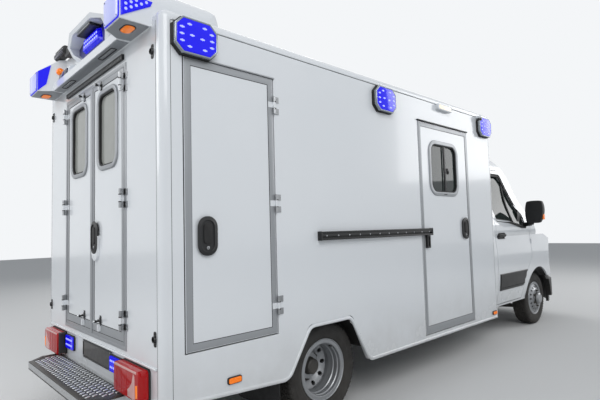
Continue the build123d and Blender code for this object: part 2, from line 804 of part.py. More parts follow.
def greenhouse(inset):
    with BuildPart(mode=Mode.PRIVATE) as volume:
        for number, (height, half_width, pillar, middle) in enumerate(greenhouse_rows):
            drop = inset if number else inset + 1
            back_x = cab_back_x + inset
            pillar_x = cab_back_x + pillar - 1.2 * inset
            middle_x = cab_back_x + middle - 1.3 * inset
            side_y = half_width - inset
            with BuildSketch(Plane.XY.offset(height - drop)):
                with BuildLine():
                    Line((back_x, -side_y), (back_x, side_y))
                    Line((back_x, side_y), (pillar_x, side_y))
                    ThreePointArc((pillar_x, side_y), (middle_x, 0), (pillar_x, -side_y))
                    Line((pillar_x, -side_y), (back_x, -side_y))
                make_face()
        loft()
    return volume.part


def lower_body(inset):
    ahead = front_axle_x - inset
    top_z = belt_z - inset
    with BuildPart(mode=Mode.PRIVATE) as volume:
        with BuildSketch(Plane.XZ):
            with BuildLine():
                Line((cab_back_x + inset, top_z), (cab_back_x + inset, sill_z + inset))
                Line((cab_back_x + inset, sill_z + inset), (ahead + 905, sill_z + inset))
                Line((ahead + 905, sill_z + inset), (ahead + 925, 700))
                ThreePointArc((ahead + 925, 700), (ahead + 912, 840), (ahead + 868, 960 - inset / 2))
                ThreePointArc(
                    (ahead + 868, 960 - inset / 2), (ahead + 822, 1018 - inset),
                    (ahead + 740, 1060 - inset),
                )
                Line((ahead + 740, 1060 - inset), (cowl_x, top_z))
                Line((cowl_x, top_z), (cab_back_x + inset, top_z))
            make_face()
        extrude(amount=1100, both=True)
        with BuildSketch(Plane.YZ.offset(cab_back_x)):
            with BuildLine():
                Line((inset - 955, sill_z), (955 - inset, sill_z))
                ThreePointArc((955 - inset, sill_z), (1003 - inset, 820), (985 - inset, belt_z))
                Line((985 - inset, belt_z), (inset - 985, belt_z))
                ThreePointArc((inset - 985, belt_z), (inset - 1003, 820), (inset - 955, sill_z))
            make_face()
        extrude(amount=2600, mode=Mode.INTERSECT)
        with BuildSketch(Plane.XY):
            with BuildLine():
                Polyline(
                    (ahead + 300, inset - 1010), (cab_back_x, inset - 1010), (cab_back_x, 1010 - inset),
                    (ahead + 300, 1010 - inset),
                )
                ThreePointArc(
                    (ahead + 300, 1010 - inset), (ahead + 640, 900 - inset), (ahead + 800, 720 - inset),
                )
                ThreePointArc((ahead + 800, 720 - inset), (ahead + 925, 0), (ahead + 800, inset - 720))
                ThreePointArc(
                    (ahead + 800, inset - 720), (ahead + 640, inset - 900), (ahead + 300, inset - 1010),
                )
            make_face()
        extrude(amount=1400, mode=Mode.INTERSECT)
    return volume.part


lower_outer = lower_body(0)
upper_outer = greenhouse(0)
body_outer = lower_outer + upper_outer
body_inner = lower_body(cab_skin) + greenhouse(cab_skin)

door_outline = (
    # ahead of the cab's back, height
    (140, 430), (140, 2085), (640, 2085), (760, 1950), (1010, 1600), (1200, 1345), (1200, 985),
    (1145, 895), (1030, 780), (920, 600),
    (870, 430),
)
window_outline = (
    (205, 1450), (205, 2010), (605, 2010), (712, 1895), (945, 1580), (1002, 1502), (1002, 1352),
    (900, 1360), (560, 1425),
)


# Small butt hinges in the gaps round the cab doors and behind the bonnet
cab_door_gap = 8
cab_pin_radius = 1.8
cab_knuckle_radius = 3.6
cab_hinge_half = 30
cab_hinge_mid = 10
cab_hinge_heights = (1035, 1150)
cab_door_edge_x = cab_back_x + 1200
cab_pin_x = cab_door_edge_x + cab_door_gap / 2
cab_pin_half = 1003
bonnet_gap = 10
bonnet_pin_x = cowl_x + bonnet_gap / 2
bonnet_pin_z = 1236
bonnet_hinge_halves = (300, 560)


door_core_half = 885
pillar_lip = 15
pillar_relief = 24


def outline_prism(outline, grow, side):
    # a prism that reaches outboard through one side of the cab
    with BuildPart(mode=Mode.PRIVATE) as prism:
        with BuildSketch(Plane(origin=(cab_back_x, side * 600, 0), x_dir=(1, 0, 0), z_dir=(0, -1, 0))):
            with BuildLine():
                Polyline(*outline, close=True)
            make_face()
            if grow:
                offset(amount=grow, kind=Kind.INTERSECTION)
        extrude(amount=-side * 500)
    return prism.part


def door_block(grow, side):
    # the space a cab door takes: below the belt it is only as deep as the door's two skins
    core_half = door_core_half - grow
    core = between(cab_back_x, nose_x, -core_half, core_half, 0, belt_z - 40)
    return outline_prism(door_outline, grow, side) - core


def screen_prism(shrink):
    with BuildPart(mode=Mode.PRIVATE) as prism:
        with BuildSketch(Plane.YZ.offset(cab_back_x + 560)):
            with BuildLine():
                Polyline(
                    (880 - shrink, 1300 + shrink), (715 - shrink, 2150 - shrink),
                    (shrink - 715, 2150 - shrink),
                    (shrink - 880, 1300 + shrink), close=True,
                )
            make_face()
        extrude(amount=1300)
    return prism.part


def between(x0, x1, y0, y1, z0, z1):
    # a block from its corners
    block = Box(x1 - x0, y1 - y0, z1 - z0, mode=Mode.PRIVATE)
    return Pos((x0 + x1) / 2, (y0 + y1) / 2, (z0 + z1) / 2) * block


far = 1200
shelf_z = 740
well_front_x = cab_back_x + 925
arch_radius = 440
arch_cut = Pos(front_axle_x - 10, 0, axle_z) * Rot(90, 0, 0) * Cylinder(arch_radius, 2 * far)
with BuildPart() as cab_shell:
    add(body_outer)
    add(
        body_inner
        & (between(0, firewall_x, -far, far, 0, 3000) + between(0, nose_x, -far, far, belt_z - 1, 3000)),
        mode=Mode.SUBTRACT,
    )
    add(between(cab_back_x - 1, nose_x, -tunnel_half, tunnel_half, 0, cab_floor_z), mode=Mode.SUBTRACT)
    for side in (1, -1):
        add(
            body_outer & (
                between(
                    cab_back_x, firewall_x, -tunnel_half - 30, tunnel_half + 30, sill_z,
                    cab_floor_z + 30,
                )
                - between(cab_back_x - 1, firewall_x + 1, -tunnel_half, tunnel_half, 0, cab_floor_z)
            )
        )
    add(
        between(well_front_x, nose_x, -930, 930, 0, shelf_z)
        - between(0, nose_x, -tunnel_half - 30, tunnel_half + 30, 0, far),
        mode=Mode.SUBTRACT,
    )
    for side in (1, -1):
        low_y, high_y = sorted((side * (tunnel_half + 30), side * 930))
        add(between(well_front_x - 30, well_front_x, low_y, high_y, sill_z + 30, shelf_z + 30))
        add(between(well_front_x - 30, firewall_x, low_y, high_y, shelf_z, shelf_z + 30))
    add(between(firewall_x + firewall_skin, nose_x, -925, 925, 0, belt_z - cab_skin), mode=Mode.SUBTRACT)
    add(between(seam_x, nose_x, -far, far, 0, belt_z - cab_skin), mode=Mode.SUBTRACT)
    for side in (1, -1):
        add(door_block(cab_door_gap, side), mode=Mode.SUBTRACT)
        low_y, high_y = sorted((side * 700, side * far))
        add(arch_cut & between(well_front_x, nose_x, low_y, high_y, 0, far), mode=Mode.SUBTRACT)
    add(screen_prism(0), mode=Mode.SUBTRACT)
    add(between(cowl_x, nose_x, -far, far, 0, 3000), mode=Mode.SUBTRACT)
    for side in (1, -1):
        for hinge_half_y in bonnet_hinge_halves:
            hinge_y = side * hinge_half_y
            with BuildSketch(Plane.XZ.offset(-hinge_y - cab_hinge_half)):
                with Locations((bonnet_pin_x, bonnet_pin_z)):
                    Circle(cab_pin_radius)
            extrude(amount=2 * cab_hinge_half)
            for foot in (hinge_y - cab_hinge_half, hinge_y + cab_hinge_mid):
                with BuildSketch(Plane.XZ.offset(-foot)):
                    with Locations((bonnet_pin_x, bonnet_pin_z)):
                        Circle(cab_knuckle_radius)
                    with Locations((cowl_x + 1.5, bonnet_pin_z - 20)):
                        Rectangle(3, 44)
                extrude(amount=cab_hinge_mid - cab_hinge_half)
cab_shell.part.label = "cab_shell"
export_step(cab_shell.part, "parts/cab_shell.step")

# Windscreen, set back from the outer skin
screen_set = 8
with BuildPart() as windscreen:
    add((greenhouse(screen_set) - greenhouse(screen_set + glass_thickness)) & screen_prism(seat_gap))
windscreen.part.label = "windscreen"
export_step(windscreen.part, "parts/windscreen.step")

# Front fenders: the side skin ahead of the doors, with the wheel arch cut
fender_skin = 45
fender_shell = lower_outer - lower_body(fender_skin)
with BuildPart() as front_fenders:
    for side in (1, -1):
        low_y, high_y = sorted((side * (bonnet_half + swing_gap), side * far))
        add(
            fender_shell & (
                between(seam_x, nose_x, low_y, high_y, sill_z, belt_z - cab_skin) + between(
                    cowl_x, nose_x, low_y, high_y, sill_z, belt_z,
                )
                - between(lamp_rear_x, nose_x, -far, far, 0, bonnet_foot)
            )
        )
    add(between(front_axle_x + 300, nose_x, -far, far, 0, 640), mode=Mode.SUBTRACT)
    add(arch_cut, mode=Mode.SUBTRACT)
    for side in (1, -1):
        add(door_block(cab_door_gap, side), mode=Mode.SUBTRACT)
    for side in (1, -1):
        pin_y = side * cab_pin_half
        low_y, high_y = sorted((pin_y, side * (cab_pin_half - 50)))
        for height in cab_hinge_heights:
            with BuildSketch(Plane.XY.offset(height - cab_hinge_half)):
                with Locations((cab_pin_x, pin_y)):
                    Circle(cab_pin_radius)
            extrude(amount=2 * cab_hinge_half)
            for foot in (height - cab_hinge_half, height + cab_hinge_mid):
                with BuildSketch(Plane.XY.offset(foot)):
                    with Locations((cab_pin_x, pin_y)):
                        Circle(cab_knuckle_radius)
                    with Locations((cab_pin_x + 3, (low_y + high_y) / 2)):
                        Rectangle(3, high_y - low_y)
                extrude(amount=cab_hinge_half - cab_hinge_mid)
front_fenders.part.label = "front_fenders"
export_step(front_fenders.part, "parts/front_fenders.step")

# Bonnet, hinged along its rear edge
bonnet_rear_x = cowl_x + bonnet_gap
with BuildPart() as bonnet:
    add(
        (lower_outer - lower_body(bonnet_skin))
        & between(bonnet_rear_x, nose_x, -bonnet_half, bonnet_half, bonnet_foot + swing_gap, belt_z + 10)
    )
    for hinge_half_y in bonnet_hinge_halves:
        for hinge_y in (hinge_half_y, -hinge_half_y):
            with BuildSketch(Plane.XZ.offset(-hinge_y - cab_hinge_mid + 0.5)):
                with Locations((bonnet_pin_x, bonnet_pin_z)):
                    Circle(cab_knuckle_radius)
                with Locations((bonnet_pin_x + 3.5, bonnet_pin_z - 12)):
                    Rectangle(3, 24)
                with Locations((bonnet_pin_x, bonnet_pin_z)):
                    Circle(cab_pin_radius + pin_gap, mode=Mode.SUBTRACT)
            extrude(amount=2 * cab_hinge_mid - 1)
bonnet.part.label = "bonnet"
export_step(bonnet.part, "parts/bonnet.step")

# Headlamps and the grille between them
nose_shell = lower_outer - lower_body(90)
with BuildPart() as headlamps:
    for side in (1, -1):
        low_y, high_y = sorted((side * (grille_half + seat_gap), side * far))
        add(
            nose_shell & between(lamp_rear_x + seat_gap, nose_x, low_y, high_y, lamp_foot, bonnet_foot - seat_gap)
        )
headlamps.part.label = "headlamps"
export_step(headlamps.part, "parts/headlamps.step")

grille_foot = 640
slat_pitch = 52
slat_height = 30
with BuildPart() as grille:
    add(
        (lower_outer - lower_body(cab_skin))
        & between(
            front_axle_x + 700, nose_x, -grille_half, grille_half, grille_foot + seat_gap, bonnet_foot - seat_gap
        )
    )
    for row_number in range(4):
        slot_z = grille_foot + 75 + row_number * slat_pitch
        for side in (1, -1):
            with Locations((front_axle_x + 850, side * 240, slot_z)):
                Box(300, 400, slat_height, mode=Mode.SUBTRACT)
grille.part.label = "grille"
export_step(grille.part, "parts/grille.step")

# Front bumper: a lower lip, the main band and a step at the top, open to the air in the middle
bumper_foot = 255
bumper_skin = 70
bumper_half = 990
bumper_rear_x = front_axle_x + 330
bumper_bands = (
    # foot, head, set back from the front, mode
    (bumper_foot, 340, 40, Mode.ADD),
    (340, grille_foot - 60, 0, Mode.ADD),
    (grille_foot - 60, grille_foot, 34, Mode.ADD),
    (bumper_foot, grille_foot, bumper_skin, Mode.SUBTRACT),
)
with BuildPart() as front_bumper:
    for band_foot, band_head, band_set, band_mode in bumper_bands:
        corner_x = front_axle_x + 872 - 0.8 * band_set
        corner_y = 740 - 0.7 * band_set
        flank_x = front_axle_x + 700 - 0.7 * band_set
        flank_y = 900 - 0.8 * band_set
        back_y = bumper_half - band_set
        with BuildSketch(Plane.XY.offset(band_foot)):
            with BuildLine():
                Line((bumper_rear_x, -back_y), (bumper_rear_x, back_y))
                ThreePointArc((bumper_rear_x, back_y), (flank_x, flank_y), (corner_x, corner_y))
                ThreePointArc((corner_x, corner_y), (nose_x - band_set, 0), (corner_x, -corner_y))
                ThreePointArc((corner_x, -corner_y), (flank_x, -flank_y), (bumper_rear_x, -back_y))
            make_face()
        extrude(amount=band_head - band_foot, mode=band_mode)
    for slot_row in range(2):
        with Locations((nose_x - 100, 0, 390 + slot_row * 80)):
            Box(300, 960, 46, mode=Mode.SUBTRACT)
    add(arch_cut, mode=Mode.SUBTRACT)
front_bumper.part.label = "front_bumper"
export_step(front_bumper.part, "parts/front_bumper.step")

# Cab doors, their glass and mirrors
shell = body_outer - body_inner
glass_set = 20
mirror_x = cab_back_x + 985
for side_name, side in (("left", 1), ("right", -1)):
    with BuildPart() as cab_door:
        add(shell & door_block(0, side))
        door_rear_x = cab_back_x + door_outline[0][0]
        add(
            greenhouse(pillar_lip) & between(door_rear_x - 1, door_rear_x + pillar_relief, -far, far, belt_z, 2200),
            mode=Mode.SUBTRACT,
        )
        add(outline_prism(window_outline, 0, side), mode=Mode.SUBTRACT)
        for height in cab_hinge_heights:
            with BuildSketch(Plane.XY.offset(height - cab_hinge_mid + 0.5)):
                with Locations((cab_pin_x, side * cab_pin_half)):
                    Circle(cab_knuckle_radius)
                with Locations((cab_door_edge_x + 1, side * (cab_pin_half - 25))):
                    Rectangle(2.4, 50)
                with Locations((cab_pin_x, side * cab_pin_half)):
                    Circle(cab_pin_radius + pin_gap, mode=Mode.SUBTRACT)
            extrude(amount=2 * cab_hinge_mid - 1)
    cab_door.part.label = f"cab_door_{side_name}"
    export_step(cab_door.part, f"parts/cab_door_{side_name}.step")
    with BuildPart() as cab_glass:
        add(
            (greenhouse(glass_set) - greenhouse(glass_set + glass_thickness)) & outline_prism(window_outline, -seat_gap, side)
        )
    cab_glass.part.label = f"cab_glass_{side_name}"
    export_step(cab_glass.part, f"parts/cab_glass_{side_name}.step")
    with BuildPart() as mirror:
        with BuildSketch(Plane.XY.offset(1385)):
            with Locations((mirror_x, side * 1165)):
                RectangleRounded(120, 210, 40)
        extrude(amount=300)
        with BuildSketch(Plane.XY.offset(1345)):
            with BuildLine():
                Polyline(
                    (mirror_x - 30, side * 1120), (mirror_x + 30, side * 1120),
                    (mirror_x + 140, side * 975), (mirror_x + 40, side * 975),
                    close=True,
                )
            make_face()
        extrude(amount=60)
        add(cab_door.part, mode=Mode.SUBTRACT)
    mirror.part.label = f"mirror_{side_name}"
    export_step(mirror.part, f"parts/mirror_{side_name}.step")
# Cab interior seen through the glass: seats, dashboard and steering wheel
seat_width = 500
seat_base_z = cab_floor_z + 30 + seat_gap
seat_x = cab_back_x + 480
seat_half = 460
cushion_z = 960
with BuildPart() as cab_seats:
    for side in (1, -1):
        with Locations((seat_x, side * seat_half, (seat_base_z + cushion_z - 140) / 2)):
            Box(360, 380, cushion_z - 140 - seat_base_z)
        with Locations((seat_x, side * seat_half, cushion_z - 70)):
            Box(500, seat_width, 140)
        with BuildSketch(Plane.XZ.offset(-side * seat_half - seat_width / 2)):
            with BuildLine():
                Polyline(
                    (seat_x - 250, cushion_z - 120), (seat_x - 130, cushion_z - 120),
                    (seat_x - 210, cushion_z + 560),
                    (seat_x - 240, cushion_z + 800), (seat_x - 330, cushion_z + 800),
                    (seat_x - 320, cushion_z + 560), close=True,
                )
            make_face()
        extrude(amount=seat_width)
cab_seats.part.label = "cab_seats"
export_step(cab_seats.part, "parts/cab_seats.step")

dash_half = 900
with BuildPart() as dashboard:
    with BuildSketch(Plane.XZ.offset(-dash_half)):
        with BuildLine():
            Polyline(
                (firewall_x - seat_gap, 800), (firewall_x - 130, 800), (firewall_x - 240, 960),
                (firewall_x - 200, 1090),
                (firewall_x - 60, 1175), (firewall_x - seat_gap, 1175), close=True,
            )
        make_face()
    extrude(amount=2 * dash_half)
dashboard.part.label = "dashboard"
export_step(dashboard.part, "parts/dashboard.step")

wheel_centre = (firewall_x - 330, seat_half, 1130)
column_lean = Vector(-0.72, 0, 0.69)
with BuildPart() as steering_wheel:
    with Locations(Plane(origin=wheel_centre, x_dir=(0, 1, 0), z_dir=column_lean)):
        Torus(190, 16)
        Cylinder(60, 30)
        Box(370, 44, 16)
    with Locations(
        Plane(origin=Vector(*wheel_centre) - column_lean * 82, x_dir=(0, 1, 0), z_dir=column_lean)
    ):
        Cylinder(30, 160)
    add(dashboard.part, mode=Mode.SUBTRACT)
steering_wheel.part.label = "steering_wheel"
export_step(steering_wheel.part, "parts/steering_wheel.step")

# Front fairing that bridges the step from the cab's roof up to the box
fairing_half = 780
fairing_foot = 2346
with BuildPart() as front_fairing:
    for ahead, half_width, foot, head in (
        (0, fairing_half, fairing_foot, 2640), (330, fairing_half - 130, fairing_foot, 2560),
        (520, fairing_half - 330, fairing_foot, 2440),
    ):
        with BuildSketch(Plane.YZ.offset(front_wall_x + ahead)):
            with Locations((0, (foot + head) / 2)):
                RectangleRounded(2 * half_width, head - foot, 40)
    loft()
front_fairing.part.label = "front_fairing"
export_step(front_fairing.part, "parts/front_fairing.step")

# Rear hood: a shelf over the doors, shoulders that end in a pod at each side, a raised middle
hood_half = 960
hood_under = 2585
hood_seat = seam_z + 18
hood_top = 2845
hood_round = 115
hood_front = 540
front_round = 180
shelf_top = 2640
shelf_reach = 88
shelf_half = 670
pod_reach = 187
pod_head = 2752
pod_inner_half = 742
notch_half = 606
hump_top = 2918
hump_foot = 2700
hump_reach = 99
hump_half = 370
hump_length = 470
recess_floor = 10
hump_outline = (
    # from the middle, height
    (260, hump_foot), (hump_half, 2790), (hump_half, 2860), (220, hump_top),
)
recess_outline = ((219, 2730), (330, 2800), (330, 2850), (187, 2895))


def both_halves(outline):
    # a closed outline from its left half, mirrored about the middle
    right_half = [(-across, height) for across, height in reversed(outline)]
    return [*outline, *right_half]


with BuildPart() as hood_hump:
    with BuildSketch(Plane.YZ.offset(rear_wall_x - hump_reach)):
        with BuildLine():
            Polyline(*both_halves(hump_outline), close=True)
        make_face()
    extrude(amount=hump_reach + hump_length)
    with BuildSketch(Plane.XZ.offset(-hump_half)):
        with BuildLine():
            Polyline(
                (rear_wall_x + 20, hump_foot), (rear_wall_x - hump_reach, hump_top),
                (rear_wall_x + 200, hump_top),
                (rear_wall_x + hump_length, hood_top - 90), (rear_wall_x + hump_length, hump_foot),
                close=True,
            )
        make_face()
    extrude(amount=2 * hump_half, mode=Mode.INTERSECT)

with BuildPart() as rear_hood:
    with BuildSketch(Plane.XZ.offset(-hood_half)):
        with BuildLine():
            Polyline(
                (rear_wall_x + hood_front, hood_seat), (rear_wall_x, hood_seat), (rear_wall_x, hood_under),
                (rear_wall_x - pod_reach, hood_under), (rear_wall_x - pod_reach, pod_head),
                (rear_wall_x - 50, hood_top), (rear_wall_x + 250, hood_top),
            )
            ThreePointArc(
                (rear_wall_x + 250, hood_top), (rear_wall_x + 440, hood_top - 50),
                (rear_wall_x + hood_front, hood_seat),
            )
        make_face()
    extrude(amount=2 * hood_half)
    # the pods' inner cheeks and the shelf between them
    for reach_from, reach_to, half_from, half_to, foot in (
        (pod_reach, shelf_reach, pod_inner_half, shelf_half, hood_under),
        (shelf_reach, 0, shelf_half, notch_half, shelf_top),
    ):
        with BuildSketch(Plane.XY.offset(foot)):
            with BuildLine():
                Polyline(
                    (rear_wall_x - reach_from, -half_from), (rear_wall_x - reach_from, half_from),
                    (rear_wall_x - reach_to, half_to), (rear_wall_x - reach_to, -half_to), close=True,
                )
            make_face()
        extrude(amount=hood_top - foot, mode=Mode.SUBTRACT)
    # rounded shoulders along both sides and rounded front corners
    with BuildSketch(Plane.YZ.offset(rear_wall_x - pod_reach)):
        with BuildLine():
            Polyline(
                (hood_round - hood_half, hood_top), (hood_half - hood_round, hood_top),
            )
            RadiusArc((hood_half - hood_round, hood_top), (hood_half, hood_top - hood_round), hood_round)
            Polyline(
                (hood_half, hood_top - hood_round), (hood_half, hood_under),
                (-hood_half, hood_under), (-hood_half, hood_top - hood_round),
            )
            RadiusArc((-hood_half, hood_top - hood_round), (hood_round - hood_half, hood_top), hood_round)
        make_face()
    extrude(amount=pod_reach + hood_front, mode=Mode.INTERSECT)
    with BuildSketch(Plane.XY.offset(hood_under)):
        with Locations((rear_wall_x + (hood_front - pod_reach) / 2, 0)):
            Rectangle(hood_front + pod_reach, 2 * hood_half)
        fillet(vertices().group_by(Axis.X)[-1], front_round)
    extrude(amount=hood_top - hood_under, mode=Mode.INTERSECT)
    add(hood_hump.part)
    with BuildSketch(Plane.YZ.offset(rear_wall_x - hump_reach)):
        with BuildLine():
            Polyline(*both_halves(recess_outline), close=True)
        make_face()
    extrude(amount=hump_reach + recess_floor, mode=Mode.SUBTRACT)
    add(box_roof.part, mode=Mode.SUBTRACT)
rear_hood.part.label = "rear_hood"
export_step(rear_hood.part, "parts/rear_hood.step")

# Work lamp on the left shoulder, on an arm from the raised middle, and the lamp box under it
with BuildPart() as shoulder_lamp:
    with BuildSketch(Plane.XZ.offset(-700)):
        with BuildLine():
            Polyline(
                (rear_wall_x - 10, hood_top + 6), (rear_wall_x - 62, hood_top + 6),
                (rear_wall_x - 78, hood_top + 30),
                (rear_wall_x - 60, hood_top + 72), (rear_wall_x - 10, hood_top + 72), close=True,
            )
        make_face()
    extrude(amount=230)
    with BuildSketch(Plane.XZ.offset(-480)):
        with Locations((rear_wall_x - 32, hood_top + 8)):
            Rectangle(44, 64)
    extrude(amount=480 - hump_half)
shoulder_lamp.part.label = "shoulder_lamp"
export_step(shoulder_lamp.part, "parts/shoulder_lamp.step")

# Blue beacon lamps: chamfered lamps along both sides, the hood's lenses and the pair over the step
side_lamp = (280, 212, 60)
side_lamp_proud = 45
side_lamp_rows = (
    # ahead of the rear wall, height
    (208, 2524), (2054, 2488), (3950, 2502),
)
valance_lamp = (170, 95)
valance_lamp_half = 452
pod_lens = 5
cheek_run = pod_reach - shelf_reach
cheek_turn = pod_inner_half - shelf_half


def cheek_plane(side):
    # on a pod's inner cheek: local y up, z out of the pod, x times side runs forward from the rear edge
    along = Vector(cheek_run, -side * cheek_turn, 0)
    return Plane(
        origin=(rear_wall_x - pod_reach, side * pod_inner_half, hood_under), x_dir=along * side,
        z_dir=along.cross(Vector(0, 0, 1)) * side,
    )


with BuildPart() as blue_lamps:
    for face_y in (half_box + side_lamp_proud, -half_box):
        for ahead, height in side_lamp_rows:
            with BuildSketch(wall_plane(face_y)):
                with Locations((rear_wall_x + ahead, height)):
                    Rectangle(side_lamp[0], side_lamp[1])
                chamfer(vertices(), side_lamp[2])
            extrude(amount=side_lamp_proud)
    # faceted lamp in the hood's recess
    with BuildSketch(Plane.YZ.offset(rear_wall_x + recess_floor)):
        with BuildLine():
            Polyline(
                (-172, 2766), (172, 2766), (172, 2790), (144, 2868), (-144, 2868), (-172, 2790),
                close=True,
            )
        make_face()
    extrude(amount=-30, taper=24)
    # lenses on each pod's outer side, inner cheek and rear face
    for side in (1, -1):
        with BuildSketch(Plane.XZ.offset(-side * hood_half)):
            with BuildLine():
                Polyline(
                    (rear_wall_x - 181, 2598), (rear_wall_x - 8, 2700),
                    (rear_wall_x + 4, hood_top - hood_round),
                    (rear_wall_x - 181, hood_top - hood_round), close=True,
                )
            make_face()
        extrude(amount=-side * pod_lens)
        with BuildSketch(cheek_plane(side)):
            with BuildLine():
                Polyline(
                    (side * 4, 6), (side * 4, pod_head - hood_under - 2), (side * 104, 216), (side * 70, 60), close=True,
                )
            make_face()
        extrude(amount=pod_lens)
        with BuildSketch(Plane.YZ.offset(rear_wall_x - pod_reach)):
            with Locations((side * (pod_inner_half + hood_half) / 2, (hood_under + pod_head) / 2)):
                RectangleRounded(hood_half - pod_inner_half - 10, pod_head - hood_under - 8, 8)
        extrude(amount=-pod_lens)
    for side in (1, -1):
        with BuildSketch(Plane.YZ.offset(rear_wall_x)):
            with Locations((side * valance_lamp_half, 567)):
                RectangleRounded(*valance_lamp, 12)
        extrude(amount=-20)
blue_lamps.part.label = "blue_lamps"
export_step(blue_lamps.part, "parts/blue_lamps.step")

# Rear valance with its blank plate, below the rear wall
valance_foot = 430
valance_skin = 20
with BuildPart() as rear_valance:
    with BuildSketch(Plane.YZ.offset(rear_wall_x)):
        with Locations((0, (valance_foot + rear_wall_foot) / 2)):
            Rectangle(2 * rear_wall_half, rear_wall_foot - valance_foot)
    extrude(amount=valance_skin)
    with Locations((rear_wall_x - 4, -106, 575)):
        Box(8, 520, 115)
rear_valance.part.label = "rear_valance"
export_step(rear_valance.part, "parts/rear_valance.step")

# Tail lamps on the valance
tail_lamp_inner = 560
tail_lamp_outer = 920
with BuildPart() as tail_lamps:
    for side in (1, -1):
        with BuildSketch(Plane.YZ.offset(rear_wall_x)):
            with Locations((side * (tail_lamp_inner + tail_lamp_outer) / 2, 545)):
                RectangleRounded(tail_lamp_outer - tail_lamp_inner, 165, 20)
        extrude(amount=-55)
tail_lamps.part.label = "tail_lamps"
export_step(tail_lamps.part, "parts/tail_lamps.step")

# Rear step: a tread in a rounded frame on two arms under the rails
step_half = 690
step_top = 445
step_thick = 40
with BuildPart() as rear_step:
    with BuildSketch(Plane.XY.offset(step_top - step_thick)):
        with BuildLine():
            Polyline(
                (rear_wall_x - 10, -step_half), (rear_wall_x - 10, step_half),
                (rear_wall_x - 150, step_half), (rear_wall_x - step_reach, step_half - 110),
                (rear_wall_x - step_reach, 110 - step_half), (rear_wall_x - 150, -step_half), close=True,
            )
        make_face()
    extrude(amount=step_thick)
    for side in (1, -1):
        with BuildSketch(Plane.XZ.offset(-side * rail_mid_half - 25)):
            with BuildLine():
                Polyline(
                    (rear_wall_x - 200, step_top - step_thick - 50),
                    (rear_wall_x - 200, step_top - step_thick),
                    (rear_wall_x + 100, step_top - step_thick),
                    (rear_wall_x + 120, rail_under), (rear_wall_x + 260, rail_under),
                    (rear_wall_x + 160, step_top - step_thick - 50), close=True,
                )
            make_face()
        extrude(amount=50)
rear_step.part.label = "rear_step"
export_step(rear_step.part, "parts/rear_step.step")

# Amber markers and white work lights
with BuildPart() as marker_lamps:
    for face_y in (half_box + 14, -half_box):
        for ahead, height in ((459, 500), (4020, 392)):
            with BuildSketch(wall_plane(face_y)):
                with Locations((rear_wall_x + ahead, height)):
                    RectangleRounded(90, 32, 10)
            extrude(amount=14)
marker_lamps.part.label = "marker_lamps"
export_step(marker_lamps.part, "parts/marker_lamps.step")

with BuildPart() as work_lights:
    for face_y in (half_box + 36, -half_box):
        with BuildSketch(wall_plane(face_y)):
            with Locations((rear_wall_x + 3070, 2582)):
                RectangleRounded(248, 48, 16)
        extrude(amount=36)
    with BuildSketch(Plane.YZ.offset(rear_wall_x - 14)):
        with Locations((0, 2522)):
            Rectangle(1100, 22)
    extrude(amount=14)
work_lights.part.label = "work_lights"
export_step(work_lights.part, "parts/work_lights.step")
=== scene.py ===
import math
import bpy
import numpy
from mathutils import Matrix, Vector
from mathutils.bvhtree import BVHTree


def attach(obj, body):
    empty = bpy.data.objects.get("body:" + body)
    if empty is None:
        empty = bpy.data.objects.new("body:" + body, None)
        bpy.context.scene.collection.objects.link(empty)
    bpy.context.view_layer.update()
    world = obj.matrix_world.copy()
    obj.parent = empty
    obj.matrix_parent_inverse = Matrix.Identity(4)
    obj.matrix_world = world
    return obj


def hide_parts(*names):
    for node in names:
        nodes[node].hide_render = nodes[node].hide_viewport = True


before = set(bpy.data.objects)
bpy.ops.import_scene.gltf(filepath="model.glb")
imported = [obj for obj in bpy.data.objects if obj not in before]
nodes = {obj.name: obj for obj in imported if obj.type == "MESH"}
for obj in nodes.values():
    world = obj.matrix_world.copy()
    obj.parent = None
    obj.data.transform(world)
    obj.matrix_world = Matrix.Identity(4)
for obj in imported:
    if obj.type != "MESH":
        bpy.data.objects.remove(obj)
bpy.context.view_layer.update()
print("frame loaded")

# Camera: where the photographer stood, in metres, with the lens that the photo's edges gave
photoView = {
    "place": (-4.3446, -3.4011, 1.3876),
    "yaw": 46.74,
    "pitch": 3.73,
    "roll": -0.0270,
    "lens": 27.36,
}


def makeCamera(view):
    yaw = math.radians(view["yaw"])
    pitch = math.radians(view["pitch"])
    ahead = Vector((math.cos(pitch) * math.cos(yaw), math.cos(pitch) * math.sin(yaw), math.sin(pitch)))
    level = Vector((math.sin(yaw), -math.cos(yaw), 0))
    above = level.cross(ahead)
    right = level * math.cos(view["roll"]) + above * math.sin(view["roll"])
    up = above * math.cos(view["roll"]) - level * math.sin(view["roll"])
    turn = Matrix((right, up, -ahead)).transposed()
    bpy.ops.object.camera_add(location=view["place"], rotation=turn.to_euler())
    camera = bpy.context.object
    camera.name = "photoCamera"
    camera.data.lens = view["lens"]
    camera.data.sensor_width = 36
    camera.data.clip_end = 200
    bpy.context.scene.camera = camera


makeCamera(photoView)
bpy.context.scene.view_settings.view_transform = "Standard"


def linear(hexText):
    parts = [int(hexText[i:i + 2], 16) / 255 for i in (1, 3, 5)]
    return tuple(p / 12.92 if p <= 0.04045 else ((p + 0.055) / 1.055) ** 2.4 for p in parts) + (1.0,)


def addNode(tree, kind, settings=None, links=None, **details):
    node = tree.nodes.new(kind)
    for key, value in details.items():
        setattr(node, key, value)
    for key, value in (settings or {}).items():
        node.inputs[key].default_value = value
    for key, socket in (links or {}).items():
        tree.links.new(socket, node.inputs[key])
    return node


